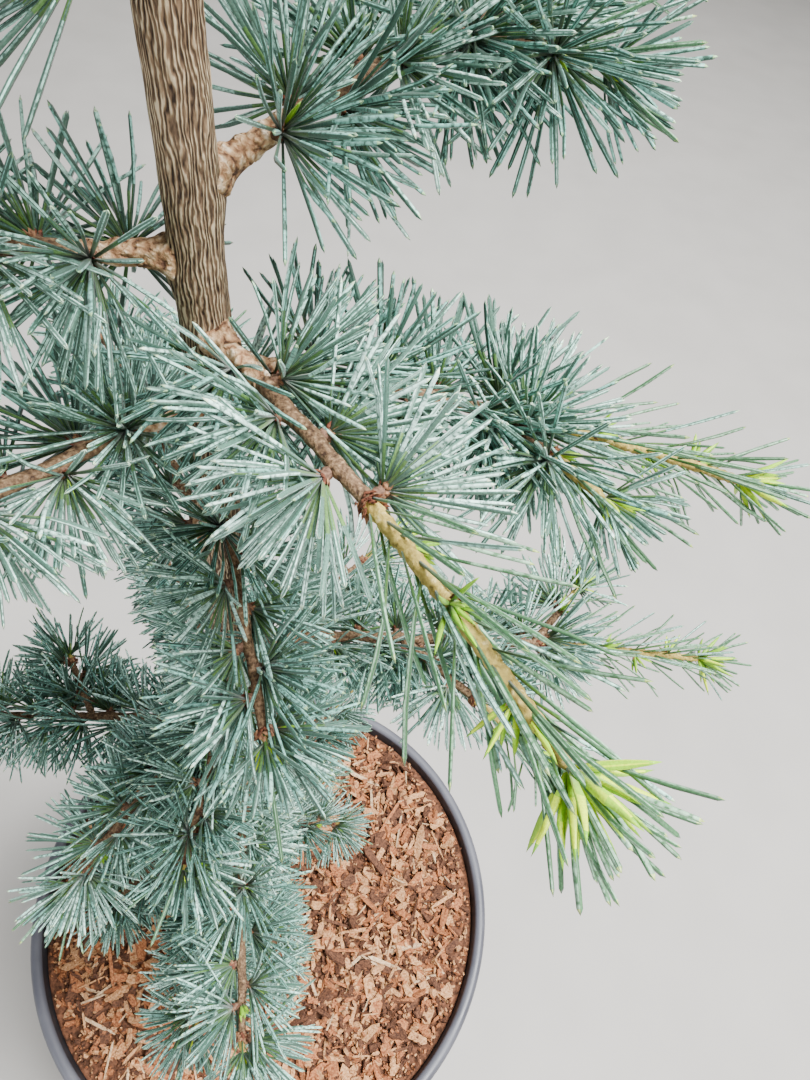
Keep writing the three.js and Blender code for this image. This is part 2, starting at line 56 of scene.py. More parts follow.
# Pot. An arc has a first angle, a last one and a number of points
POT_HEIGHT = 245
POT_RIM_RADIUS = 155
POT_BASE_RADIUS = 116
POT_WALL = 2.4
POT_FLOOR = 3
POT_FLOOR_MIDDLE = 60
INSIDE_START = 6
WALL_START = 6
FOOT_ROUNDING = 4
FOOT_ARC = (-90, -10, 7)
LIP_WIDTH = 5
LIP_HEIGHT = 9
LIP_ROUNDING = 3.4
LIP_ARC = (-80, 85, 14)
LIP_GAP = 2.5
LIP_DROP = 3
POT_SIDES = 144
POT_WALL_RINGS = 24
DRAIN_HOLES = 8
DRAIN_RADIUS = 6
DRAIN_RING_RADIUS = 88
DRAIN_SIDES = 32
DRAIN_CUT = (-5, 8)

# Corners (radius, height) of the pot's outline: of its underside, of the lip's inner edge from
# the inner wall's top, and of the inside corner from where wall and floor meet
UNDERSIDE = [(0, 0.8), (70, 0.8), (72, 0), (104, 0)]
LIP_INNER_EDGE = [(2.6, 0), (1.2, -0.5), (0.3, -1.6)]
INSIDE_CORNER = [(-0.8, 0.8), (-3, 0)]

# Growing medium, and the height and size of its mounds
SOIL_LEVEL = 237
SOIL_EDGE_DROP = 3
SOIL_LEVEL_RADIUS = 93
MEDIUM_GAP = 0.6
MEDIUM_FLOOR_GAP = 0.3
MEDIUM_SIDES = 220
MEDIUM_RINGS = 70
MEDIUM_WALL_RINGS = 8
MEDIUM_SHOULDER = 3
MEDIUM_EDGE_FADE = 6
MEDIUM_SINK = 0.6
MEDIUM_MOUNDS = ((1.6, 14), (1.3, 5))

# Loose bark: how many pieces, their lengths, widths and thicknesses from and to, how many of the
# looks they take, and how high above the medium they pile up
CHIPS = (3200, (3.5, 17), (2.5, 11), (1.0, 3.4), 3, 6.0)
SHARDS = (700, (8, 34), (1.2, 4), (0.8, 1.8), 4, 7.5)
SLABS = (50, (16, 36), (6, 16), (1.6, 3.4), 3, 7.0)
CRUMBS = (8000, (1.2, 5), (1.0, 3.5), (0.8, 2.2), 3, 7.0)
CHIP_CORNERS = np.radians([0, 50, 130, 180, 230, 310])
CHIP_CORNER_SPREAD = 0.15
CHIP_SIZE_POWER = 1.8
CHIP_PILE_POWER = 1.5
CHIP_SLANT = 0.42
CHIP_BOW = 0.4
CHIP_UNDERSIDE_SHARE = 0.9
CHIP_OUTLINE_MOST = 1.3
CHIP_WALL_GAP = 1.2
CHIP_TRUNK_GAP = 12

# Trunk
TRUNK_FOOT_RADIUS = 8.4
TRUNK_TIP_RADIUS = 2
TRUNK_TIP_LEVEL = 1104
TRUNK_TAPER = 0.9
TRUNK_SUNK = 4
ROOT_FLARE = 5.5
ROOT_FLARE_FADE = 13
ROOT_LOBES = 5
ROOT_LOBE_DEPTH = 0.3
TRUNK_LEAN = 2.6
TRUNK_LEAN_HEADING = -90
TRUNK_SWAY = 2.2
TRUNK_SWAY_LENGTH = 420
CROSS_SWAY_SHARE = 0.5
CROSS_SWAY_PACE = 1.7
TRUNK_SIDES = 72
TRUNK_RINGS = 1050
TRUNK_STRANDS = 40
TRUNK_FURROWS = (2.4, 16)
TRUNK_RELIEF = 0.5
TRUNK_LEAST_RELIEF = 0.1
TRUNK_RIDGE_LEVEL = 0.9
TRUNK_WANDER = 0.3
TRUNK_WANDER_SIZE = (6, 6, 30)

# The trunk's swelling under a branch: its height and its reach along the trunk, both times the
# branch's radius, how far below the branch it lies, and how closely it keeps to that side
SWELLING_HEIGHT = 0.55
SWELLING_REACH = 2.2
SWELLING_DROP = 2
SWELLING_FOCUS = 2.2

# Crown, leader and branches
CROWN_TOP_REACH = 38
CROWN_WIDENING = 0.27
CROWN_FOOT_REACH = 85
CROWN_FOOT_WIDENING = 0.2
LEADER_LENGTH = 118
LEADER_NOD = 12
LEADER_STRAIGHT_SHARE = 0.55
BOUGH_LEAST_REACH = 102
BOUGH_LENGTH = 8
BOUGH_LENGTH_SHARE = 0.075
BRANCH_RADIUS = 1.0
BRANCH_RADIUS_SHARE = 0.008
BRANCH_BOW = 0.12
BRANCH_ARCH = 0.04
COLLAR_SWELL = 1.25
COLLAR_RISE = 1.3
COLLAR_FADE = 2.5
BOUGH_TIP_SHARE = 0.75
BOUGH_OVERLAP = 1.5
BOUGH_SIDES = 36
BOUGH_RING_STEP = 0.4
BOUGH_FURROWS = (3.2, 3.2)
BOUGH_RELIEF = 0.7
BOUGH_RIDGE_LEVEL = 0.7
BOUGH_KNOB = 0.55
BOUGH_KNOB_SIZE = 1.9
# Share of the knobs in the collar's tone: raised knobs paler and sunk ones darker, partly as
# painted highlight and painted shade
BOUGH_KNOB_TONE = 0.4

# Twigs
TWIG_TIP_RADIUS = 1.1
SIDE_TWIG_RADIUS = 1.3
SIDE_TWIG_LEAST_REACH = 126
SIDE_TWIG_REACH_STEP = 30
SIDE_TWIGS_MOST = 2
SIDE_TWIG_ANGLE = 44
SIDE_TWIG_ANGLE_SPREAD = 14
SIDE_TWIG_SHARE = 0.2
SIDE_TWIG_SHARE_SPREAD = 0.1
SIDE_TWIG_PLACE = 0.6
SIDE_TWIG_PLACE_SPREAD = 0.3
SIDE_TWIG_LAST_PLACE = 0.84
SIDE_TWIG_SHORTENING = 1.25
SIDE_TWIG_DROOP = 0.6
SIDE_TWIG_CLIMB = 0.2
SIDE_TWIG_ARCH = 0.05
SIDE_TWIG_FLUSH = 0.6
YOUNG_WOOD = 24
YOUNG_WOOD_SHARE = 0.26
YOUNG_WOOD_MOST = 0.5
TWIG_SIDES = 9
TWIG_RING_STEP = 1.0
TWIG_LEAST_RINGS = 6
TWIG_ROUND_END = 2
TWIG_END_SHARE = 0.1
TWIG_FURROWS = (1.5, 1.5)
TWIG_RELIEF = 0.3
TWIG_RIDGE_LEVEL = 0.8
KNUCKLE = 0.7
KNUCKLE_SIZE = 2.2
CUSHION = 0.16
CUSHION_ROWS = 2
CUSHION_TWIST = 2.6

# Furrowed bark: how narrow the noise's zero lines are drawn, the sizes of finer, ridge and calm
# noise against the furrows' own, and how much each takes away
FURROW_WIDTH = 0.2
FINE_WIDTH = 0.25
FINE_SIZE = [0.5, 0.5, 0.35]
RIDGE_SIZE = [0.35, 0.35, 0.2]
CALM_SIZE = [3, 3, 2]
FURROW_SHARE = 0.75
FINE_SHARE = 0.35
RIDGE_SHARE = 0.25
CALM_SHARE = 0.3

# Needles, and how much chance changes each one
NEEDLE_LENGTH = 21
WOOD_END = 0.8 * NEEDLE_LENGTH
NEEDLE_WIDTH = 0.84
NEEDLE_THICKNESS = 0.68
NEEDLE_WIDTH_SPREAD = 0.07
NEEDLE_BEND = 0.07
NEEDLE_BEND_SPREAD = 0.12
NEEDLE_FACE_SPREAD = 0.42
NEEDLE_FACE_OUTWARD = 0.02
NEEDLE_TURN_SPREAD = 0.14
NEEDLE_LEAN_SPREAD = 4
NEEDLE_LENGTH_SPREAD = 0.09
NEEDLE_LENGTH_RANGE = (0.6, 1.12)
SPRAY_POWER = 0.7
SPRAY_FOOT_RADIUS = 0.75
INNER_NEEDLE_SHARE = 0.8
STRAY_COLOUR_SHARE = 0.25
GREEN_FOOT_SPREAD = 0.9
GROOVED_SHARE = 0.28
TRUNK_MARGIN = 0.8
BOUGH_MARGIN = 0.4
LIMB_TESTS = (0.3, 0.65, 1.0)
PIECE_NEEDLES = 3650

# Rosettes on old wood: how far they turn from the twig's top to its side, how far they lean
# forward, and between which draws one stands near the top instead
ROSETTE_STEP = 6.2
ROSETTE_STEP_SPREAD = 0.8
FIRST_ROSETTE_SHARES = (0.4, 0.7)
BOUGH_END_GAP = 1
BARK_GAP = 2
FORK_GAP = 3
SPUR_TWIG_END = 1
ROSETTE_TURN = (62, 112)
TOP_ROSETTES = (0.55, 0.58)
TOP_ROSETTE_TURN = 0.3
ROSETTE_LEAN = 0.34
ROSETTE_LEAN_SPREAD = 0.12
SPUR_SHOOT_LENGTHS = (1.125, 1.875)
SPUR_SHOOT_RADIUS = 1.0
SPUR_SHOOT_SIDES = 7
SPUR_SHOOT_RINGS = np.array([0.0, 0.45, 0.62, 0.78, 0.9, 1.0])
SPUR_SHOOT_SWELL = np.array([1.0, 0.9, 1.15, 0.92, 1.2, 0.7])

# Sprays: how many needles, and the lean of the innermost and of the outermost one
ROSETTE_NEEDLES = (54, (8, 74))
HEART_LEAVES = (4, (4, 30))
LONG_SHOOT_TIP = (17, (12, 42))
SHORT_SHOOT_TIP = (36, (8, 70))
SHORT_SHOOT = 16
ROSETTE_LENGTH = NEEDLE_LENGTH - 1
HEART_LENGTH = 5.2
TIP_LENGTH = WOOD_END / 1.06

# Single needles of last year's wood
YOUNG_NEEDLE_STEP = 0.95
YOUNG_NEEDLE_LENGTH = 1.12 * NEEDLE_LENGTH
YOUNG_NEEDLE_SHORTENING = 0.3
YOUNG_NEEDLE_LENGTH_SPREAD = 0.07
YOUNG_NEEDLE_LEAN = 31
YOUNG_NEEDLE_LEAN_SPREAD = 9
YOUNG_NEEDLE_TURN_SPREAD = 12
YOUNG_NEEDLE_FACE_SPREAD = 0.15
YOUNG_NEEDLE_BEND = -0.02
YOUNG_NEEDLE_BEND_SPREAD = 0.09
YOUNG_NEEDLE_SEAT = 0.8

# Buds on last year's wood and the tuft at its tip. A pair is the value of a closed bud, and what
# full flush adds to it
BUD_STEP = 12.5
BUD_PLACES = (0.9, 1.1)
BUD_FORWARD = 0.9
BUD_SEAT = 1.2
BUD_DELAY = 0.24
BUD_LEAST_OPENNESS = 0.1
BUD_LEAVES = 8
BUD_FIRST_LEAN = 4
BUD_LEAN = (22, 34)
BUD_LEAF_LENGTH = (3.4, 5.0)
BUD_LEAF_WIDTH = 1.35
BUD_GREEN_SHARE = (0.9, -0.4)
BUD_LIME_SHARE = (0.1, 0.4)
TUFT_LEAVES = (6, 16)
TUFT_FIRST_LEAN = 6
TUFT_LEAN = (24, 44)
TUFT_LENGTH_SHARE = (0.24, 0.58)
TUFT_LEAF_WIDTH = 1.75

# Scales: how many, how far from the axis they stand, and their length. Then how far they spread
# from the axis, their shares of that length, how far along the axis they start, and the shape
# of one, in parts of its length apart from its thickness
SPUR_SCALES = (14, 0.85, 1.35)
BUD_SCALES = (7, 0.8, 1.2)
COLLAR_SCALES = (30, 1.25, 1.35)
COLLAR_ROW_STEP = 0.012
SCALE_SPREADS = (0.5, 1.1)
SCALE_LENGTHS = (0.7, 1.3)
SCALE_SETBACKS = (-0.9, 0.4)
SCALE_SHOULDER = 0.45
SCALE_HALF_WIDTH = 0.38
SCALE_TIP_RISE = 0.15
SCALE_HALF_THICKNESS = 0.22

# Palettes that needles are drawn from, and how often each is drawn
WAXY = (("silver", "frost", "blue"), (0.26, 0.38, 0.36))
HEART = (("moss", "bud"), (0.6, 0.4))
GREEN = (("sage", "moss"), (0.6, 0.4))
YOUNG = (("sage", "moss", "frost"), (0.5, 0.38, 0.12))
BRIGHT = ("bud", "lime")
TUFT_SHARES = (0.15, 0.85)

# Where each kind of chance or noise starts its chain, to which a branch's, mass's or mound's
# number is added where it has one
BOW_SEED = 500
SIDE_TWIG_SEED = 900
NEEDLE_SEED = 1300
CHIP_SEED = 41
MOUND_SEED = 3
TRUNK_BARK_SEED = 11
TRUNK_WANDER_SEED = 17
BOUGH_BARK_SEED = 31
BOUGH_KNOB_SEED = 47
TWIG_BARK_SEED = 71

# Branches that the photograph shows: height on the trunk, heading, reach of the needle tips from
# the trunk's axis, climb of the tip over the root, how far its new growth is out (0 to 1), and
# how long last year's shoot is against the rule's
SEEN_BOUGHS = [
    (790, 54, 126, 14, 0.1, 0.7),
    (778, 202, 112, 4, 0.0, 0.3),
    (764, -44, 108, 0, 1.0, 1.0),
    (756, 12, 128, -24, 0.7, 0.9),
    (747, 234, 106, 4, 0.0, 0.4),
    (716, -63, 66, -20, 0.2, 0.1),
    (652, 16, 170, -26, 0.9, 0.9),
    (636, -90, 70, -26, 0.1, 0.1),
    (622, -118, 86, -26, 0.15, 0.2),
    (600, -74, 112, -22, 0.1, 0.1),
    (590, 186, 140, -30, 0.3, 0.3),
    (560, -86, 104, -22, 0.2, 0.1),
    (548, 196, 64, -22, 0.3, 0.2),
    (516, -132, 84, -26, 0.0, 0.1),
    (470, -94, 82, -24, 0.0, 0.1),
    (452, 16, 58, -12, 0.0, 0.2),
    (430, 212, 92, -24, 0.0, 0.2),
    (396, -64, 78, -18, 0.1, 0.1),
    (352, 262, 80, -20, 0.0, 0.2),
]

# Rows of further branches: count, lowest height, rise from one to the next, headings in turn or
# the first heading of a spiral, shares of the crown's reach in turn, slope, and how long last
# year's shoots are against the rule's. Their new growth is out by these shares in turn
BACK_BOUGHS = (7, 340, 58, (128, 62), (1, 0.6), -0.12, 0.5)
UPPER_BOUGHS = (13, 834, 20, 108, (1, 0.9), 0.16, 0.9)
ROW_FLUSHES = (0, 0.4, 0.8)

# Single rosettes on the trunk: height and heading
SPURS = [(819, -92), (735, 96), (664, -20)]
SPUR_LENGTH = 7
SPUR_RISE = 2
SPUR_RADIUS = 1.7


def dice_from(seed):
    """Numbers from 0 to 1: each state is 1664525 times the last plus 1013904223, modulo 2^32."""
    state = (seed + 1) * 2654435761 % 2**32
    while True:
        state = (state * 1664525 + 1013904223) % 2**32
        yield state / 2**32


def heading_vector(heading):
    """Level unit vector (cos, sin, 0) of a heading in degrees."""
    turn = math.radians(heading)
    return np.array([math.cos(turn), math.sin(turn), 0.0])


def unit(vectors):
    """Vectors divided by their own lengths."""
    return vectors / np.linalg.norm(vectors, axis=-1, keepdims=True)


def across(direction):
    """Unit vectors side and lift square to the directions, with side x lift = direction. Lift
    leans as far upwards as it can, or towards +Y where the direction is steep."""
    reference = np.where(np.abs(direction[..., 2:]) > STEEP, [0.0, 1.0, 0.0], UP)
    side = unit(np.cross(reference, direction))
    return side, np.cross(direction, side)


def outward_at(direction, turn):
    """Unit vectors side * cos(turn) + lift * sin(turn), square to the directions."""
    side, lift = across(direction)
    return side * np.cos(turn)[..., None] + lift * np.sin(turn)[..., None]


def curve_points(curve, share):
    """Points (1-t)^2 a + 2 t (1-t) b + t^2 c of the curve with corners a, b and c."""
    t = np.asarray(share, float)[..., None]
    return (1 - t) ** 2 * curve[0] + 2 * t * (1 - t) * curve[1] + t**2 * curve[2]


def curve_directions(curve, share):
    """Unit vectors along (1-t) (b-a) + t (c-b)."""
    t = np.asarray(share, float)[..., None]
    return unit((1 - t) * (curve[1] - curve[0]) + t * (curve[2] - curve[1]))


def curve_length(curve):
    """Sum of 200 chords."""
    points = curve_points(curve, np.linspace(0, 1, 201))
    return float(np.linalg.norm(np.diff(points, axis=0), axis=1).sum())


def blotches(points, size, seed):
    """Soft chance values from -1 to 1: each corner of a lattice of that size (one number or one
    for each axis) has a value, and a smooth step blends between the eight corners of a cell."""
    cell = points / np.asarray(size, float)
    low = np.floor(cell).astype(np.int64)
    part = cell - low
    part = part * part * (3 - 2 * part)
    total = np.zeros(points.shape[:-1])
    for corner in itertools.product((0, 1), repeat=3):
        spot = low + np.array(corner)
        hashed = spot[..., 0] * 73856093 ^ spot[..., 1] * 19349663 ^ spot[..., 2] * 83492791
        hashed = (hashed + seed * 7919) * 1274126177 & 0xFFFFFFFF
        hashed = (hashed ^ hashed >> 15) * 2246822519 & 0xFFFFFFFF
        value = (hashed ^ hashed >> 13 & 0xFFFF) / 0x80000000 - 1
        weight = np.prod(np.where(corner, part, 1 - part), axis=-1)
        total += weight * value
    return total


def trunk_centre(height):
    """Even lean from the foot, and a slow sway: x = half a sway times sin(1.7 turn), y = a sway
    times sin(turn)."""
    height = np.asarray(height, float)
    above = height - SOIL_LEVEL
    turn = 2 * np.pi * above / TRUNK_SWAY_LENGTH
    x = CROSS_SWAY_SHARE * TRUNK_SWAY * np.sin(CROSS_SWAY_PACE * turn)
    upright = np.stack([x, TRUNK_SWAY * np.sin(turn), height], axis=-1)
    lean = math.tan(math.radians(TRUNK_LEAN)) * above
    return upright + heading_vector(TRUNK_LEAN_HEADING) * lean[..., None]


def trunk_radius(height):
    """Foot radius plus the difference to the tip radius times share^0.9 of the height."""
    share = (np.asarray(height, float) - SOIL_LEVEL) / (TRUNK_TIP_LEVEL - SOIL_LEVEL)
    taper = np.clip(share, 0, 1) ** TRUNK_TAPER
    return TRUNK_FOOT_RADIUS + (TRUNK_TIP_RADIUS - TRUNK_FOOT_RADIUS) * taper


def crown_reach(height):
    """The lesser of two straight lines, one widening from the tip and one from the rim."""
    upper = CROWN_TOP_REACH + CROWN_WIDENING * (TRUNK_TIP_LEVEL - height)
    lower = CROWN_FOOT_REACH + CROWN_FOOT_WIDENING * (height - POT_HEIGHT)
    return min(upper, lower)


def all_branches():
    """The seen branches and the two rows, in order of height, each with its curve from the
    trunk's axis to the end of its wood: straight from root to tip, bowed sideways by chance and
    arched upwards at the middle."""
    rows = [list(bough) for bough in SEEN_BOUGHS]
    for count, lowest, rise, headings, shares, slope, fresh in (BACK_BOUGHS, UPPER_BOUGHS):
        for i in range(count):
            height = lowest + i * rise
            spiral = not isinstance(headings, tuple)
            heading = headings + i * GOLDEN_ANGLE if spiral else headings[i % 2]
            reach = crown_reach(height) * shares[i % 2]
            rows.append([height, heading, reach, slope * reach, ROW_FLUSHES[i % 3], fresh])
    branches = []
    for number, row in enumerate(sorted(rows)):
        height, heading, reach, climb, flush, fresh = row
        dice = dice_from(number + BOW_SEED)
        root = trunk_centre(height)
        tip = root + heading_vector(heading) * (reach - WOOD_END) + UP * climb
        middle = 0.5 * (root + tip) + UP * BRANCH_ARCH * reach
        middle += heading_vector(heading + 90) * (next(dice) - 0.5) * BRANCH_BOW * reach
        has_bough = reach >= BOUGH_LEAST_REACH
        branches.append(
            {
                "number": number,
                "heading": heading,
                "height": height,
                "reach": reach,
                "flush": flush,
                "fresh": fresh,
                "curve": np.array([root, middle, tip]),
                "has_bough": has_bough,
                "bare": BOUGH_LENGTH + BOUGH_LENGTH_SHARE * reach if has_bough else 0,
                "radius": BRANCH_RADIUS + BRANCH_RADIUS_SHARE * reach,
            }
        )
    return branches


def twig_of(curve, start, from_radius, young, flush, to_radius=TWIG_TIP_RADIUS):
    """A twig: its curve, the length of its wood, the share of it that a bough covers, its radii
    at the start and at the tip, the length of last year's shoot, and how far its new growth is
    out (0 to 1)."""
    wood = curve_length(curve)
    return {
        "curve": curve,
        "wood": wood,
        "start": start,
        "from_radius": from_radius,
        "to_radius": to_radius,
        "young": young,
        "flush": flush,
    }


def twigs_of(branch):
    """A mass's stem, then its side twigs left and right in turn, by the source's rule. Last
    year's shoots have the rule's length times the branch's own share."""
    dice = dice_from(branch["number"] + SIDE_TWIG_SEED)
    curve, reach, flush = branch["curve"], branch["reach"], branch["flush"]
    wood = curve_length(curve)
    start = branch["bare"] / wood
    young = branch["fresh"] * min(YOUNG_WOOD_MOST * wood, YOUNG_WOOD + YOUNG_WOOD_SHARE * reach)
    twigs = [twig_of(curve, start, BOUGH_TIP_SHARE * branch["radius"], young, flush)]
    steps = 1 + math.floor((reach - SIDE_TWIG_LEAST_REACH) / SIDE_TWIG_REACH_STEP)
    side_count = min(max(steps, 0), SIDE_TWIGS_MOST)
    for i in range(side_count):
        place = i + SIDE_TWIG_PLACE + SIDE_TWIG_PLACE_SPREAD * next(dice)
        share = place / (side_count + SIDE_TWIG_PLACE)
        root = curve_points(curve, start + (SIDE_TWIG_LAST_PLACE - start) * share)
        angle = SIDE_TWIG_ANGLE + SIDE_TWIG_ANGLE_SPREAD * next(dice)
        heading = branch["heading"] + (angle if i % 2 else -angle)
        part = SIDE_TWIG_SHARE + SIDE_TWIG_SHARE_SPREAD * next(dice)
        length = part * reach * (SIDE_TWIG_SHORTENING - share)
        tip = root + heading_vector(heading) * length
        tip += UP * (next(dice) - SIDE_TWIG_DROOP) * SIDE_TWIG_CLIMB * length
        middle = 0.5 * (root + tip) + UP * SIDE_TWIG_ARCH * length
        side_curve = np.array([root, middle, tip])
        young = branch["fresh"] * YOUNG_WOOD_MOST * length
        twigs.append(twig_of(side_curve, 0, SIDE_TWIG_RADIUS, young, SIDE_TWIG_FLUSH * flush))
    return twigs


def leader_twig():
    """The trunk's last shoot: straight up at first, then nodding towards +X."""
    foot = trunk_centre(TRUNK_TIP_LEVEL)
    wood = LEADER_LENGTH - WOOD_END
    middle = foot + UP * LEADER_STRAIGHT_SHARE * wood
    tip = foot + UP * wood + np.array([LEADER_NOD, 0, 0])
    curve = np.array([foot, middle, tip])
    return twig_of(curve, 0, TRUNK_TIP_RADIUS, YOUNG_WOOD_MOST * wood, 1.0)


def spur_twig(height, heading):
    """A single rosette's short straight twig, with a slight rise."""
    root = trunk_centre(height)
    length = trunk_radius(height) + SPUR_LENGTH
    tip = root + heading_vector(heading) * length + UP * SPUR_RISE
    curve = np.array([root, 0.5 * (root + tip), tip])
    return twig_of(curve, 0, SPUR_RADIUS, 0, 0, SPUR_RADIUS)


# Surfaces


def joined(surfaces):
    """Several surfaces as one: the corners of each are moved on by the points before it."""
    counts = [len(points) for points, *_ in surfaces]
    offsets = np.concatenate([[0], np.cumsum(counts)[:-1]])
    return (
        np.concatenate([s[0] for s in surfaces]),
        np.concatenate([s[1] + offset for s, offset in zip(surfaces, offsets)]),
        np.concatenate([s[2] for s in surfaces]),
        np.concatenate([s[3] for s in surfaces]),
    )


def repeated(points, faces, looks):
    """One list of faces for every copy in points[copy, corner]. looks has one number for each
    face, or one row of them for each copy."""
    copies, count = points.shape[:2]
    corners = np.concatenate(faces)[None] + (np.arange(copies) * count)[:, None]
    sizes = np.tile([len(face) for face in faces], copies)
    looks = np.broadcast_to(looks, (copies, len(faces)))
    return points.reshape(-1, 3), corners.ravel(), sizes, looks.ravel()


def ringed_faces(rings, sides):
    """Four-cornered faces between neighbouring rings, and their ring's number."""
    ring, side = np.meshgrid(np.arange(rings - 1), np.arange(sides), indexing="ij")
    a = ring * sides + side
    b = ring * sides + (side + 1) % sides
    return np.stack([a, b, b + sides, a + sides], -1).reshape(-1, 4), ring.ravel()


def tube(points, look=0):
    """Closed surface through points[ring, corner], with one flat face at either end. look is one
    number, or one for each ring."""
    rings, sides = points.shape[:2]
    quads, ring = ringed_faces(rings, sides)
    first = np.arange(sides)[::-1]
    last = np.arange(sides) + (rings - 1) * sides
    corners = np.concatenate([quads.ravel(), first, last])
    sizes = np.concatenate([np.full(len(quads), 4), [sides, sides]])
    looks = np.full(len(sizes), look) if np.isscalar(look) else np.append(look[ring], look[[0, -1]])
    return points.reshape(-1, 3), corners, sizes, looks


def turned(outline, sides):
    """Round surface: each point (radius, height) of the outline makes a ring, and the two ends
    of the outline close in one point each on the axis."""
    outline = np.asarray(outline, float)
    turn = np.linspace(0, 2 * np.pi, sides, endpoint=False)
    radius, height = outline[1:-1, 0][:, None], outline[1:-1, 1][:, None]
    rings = np.stack([radius * np.cos(turn), radius * np.sin(turn), height + 0 * turn], -1)
    quads, _ = ringed_faces(len(rings), sides)
    points = np.concatenate([rings.reshape(-1, 3), [[0, 0, outline[0, 1]], [0, 0, outline[-1, 1]]]])
    corner = np.arange(sides)
    after = (corner + 1) % sides
    last = (len(rings) - 1) * sides
    low = np.stack([after, corner, np.full(sides, len(points) - 2)], -1)
    high = np.stack([corner + last, after + last, np.full(sides, len(points) - 1)], -1)
    corners = np.concatenate([quads.ravel(), low.ravel(), high.ravel()])
    sizes = np.concatenate([np.full(len(quads), 4), np.full(2 * sides, 3)])
    return points, corners, sizes, np.zeros(len(sizes), int)


def add_piece(name, surface, looks, stands_for=(), values=None, smooth=True):
    """One object from a surface: its materials are looks, it hangs from the empty of the body
    root, and it stands for the nodes of those names, which are hidden. values holds arrays by
    name, with one number or one vector for each point, for a look to read."""
    points, corners, sizes, look = surface
    mesh = bpy.data.meshes.new(name)
    mesh.vertices.add(len(points))
    mesh.vertices.foreach_set("co", (points * MM).astype(np.float32).ravel())
    mesh.loops.add(len(corners))
    mesh.loops.foreach_set("vertex_index", corners.astype(np.int32))
    mesh.polygons.add(len(sizes))
    starts = np.concatenate([[0], np.cumsum(sizes)[:-1]])
    mesh.polygons.foreach_set("loop_start", starts.astype(np.int32))
    mesh.polygons.foreach_set("material_index", look.astype(np.int32))
    mesh.polygons.foreach_set("use_smooth", np.full(len(sizes), smooth))
    for key, array in (values or {}).items():
        kind, field = ("FLOAT", "value") if array.ndim == 1 else ("FLOAT_VECTOR", "vector")
        attribute = mesh.attributes.new(key, kind, "POINT")
        attribute.data.foreach_set(field, array.astype(np.float32).ravel())
    mesh.update(calc_edges=True)
    mesh.validate()
    for made in looks:
        mesh.materials.append(made)
    piece = bpy.data.objects.new(name, mesh)
    bpy.context.scene.collection.objects.link(piece)
    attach(piece, "root")
    if stands_for:
        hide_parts(*stands_for)
    return piece


# Materials

# Sizes of their patterns in millimetres. A needle's real pores are about 0.05 across, which is
# too fine to show, so they are drawn as coarse as they need to show
PORE_SIZE = 0.32
BLOOM_SIZE = 0.8
STRAND_NOISE_SIZE = 2.2
PLATE_SIZE = 1.8
DUST_SIZE = 34
MOULDED_GRAIN = 0.5
BOARD_DRIFT = 90

# How far the strands' noise is drawn out, how far strands are pushed aside by it and how far
# plates are by theirs, in their own widths, and the shares of the mesh's relief and of the
# strands or plates in the tone of bark. Through the relief's share, hollows get darker and
# crests paler, partly as painted shade and painted highlight
STRAND_NOISE_STRETCH = (1, 1, 3.5)
STRAND_WAVER = 2.2
PLATE_RAGGEDNESS = 1.4
RELIEF_TONE = 0.35
PATTERN_TONE = 0.45


def linear(code):
    """Linear RGBA of an sRGB hex code: below 0.04045 a twelfth, above it a power of 2.4."""
    parts = [int(code[i : i + 2], 16) / 255 for i in (1, 3, 5)]
    return [p / 12.92 if p <= 0.04045 else ((p + 0.055) / 1.055) ** 2.4 for p in parts] + [1]


def shaded(code, change):
    """The hex code with each channel times change, at most 255."""
    parts = [min(255, round(int(code[i : i + 2], 16) * change)) for i in (1, 3, 5)]
    return "#" + "".join(f"{part:02x}" for part in parts)


def add_node(tree, kind, inputs=None, output=None, stops=(), **settings):
    """A node with its own settings, inputs that are values or other nodes' outputs, and stops
    (place, hex code) where it has a colour ramp. Gives the output of that name, or the node."""
    node = tree.nodes.new("ShaderNode" + kind)
    for key, value in settings.items():
        setattr(node, key, value)
    for key, value in (inputs or {}).items():
        if isinstance(value, bpy.types.NodeSocket):
            tree.links.new(value, node.inputs[key])
        else:
            node.inputs[key].default_value = value
    for place, _ in stops[2:]:
        node.color_ramp.elements.new(place)
    for number, (place, code) in enumerate(stops):
        node.color_ramp.elements[number].position = place
        node.color_ramp.elements[number].color = linear(code)
    return node.outputs[output] if output else node


def finished(name, build):
    """A material whose tree is filled by build(tree), which gives its shader's output."""
    made = bpy.data.materials.new(name)
    made.use_nodes = True
    tree = made.node_tree
    tree.nodes.clear()
    add_node(tree, "OutputMaterial", {"Surface": build(tree)})
    return made


def speckle(tree, size, detail=3.0, stretch=(1, 1, 1)):
    """Noise whose grains are about size millimetres across, drawn out along an axis by stretch."""
    place = add_node(tree, "TexCoord", output="Object")
    scale = [1 / part for part in stretch]
    drawn = add_node(tree, "Mapping", {"Vector": place, "Scale": scale}, "Vector")
    inputs = {"Vector": drawn, "Scale": 1 / (size * MM), "Detail": detail}
    return add_node(tree, "TexNoise", inputs, "Fac")


def mixed(tree, first, second, share):
    """The first value times share, plus the second times the rest."""
    rest = add_node(tree, "Math", {0: second, 1: 1 - share}, "Value", operation="MULTIPLY")
    parts = {0: first, 1: share, 2: rest}
    return add_node(tree, "Math", parts, "Value", operation="MULTIPLY_ADD")


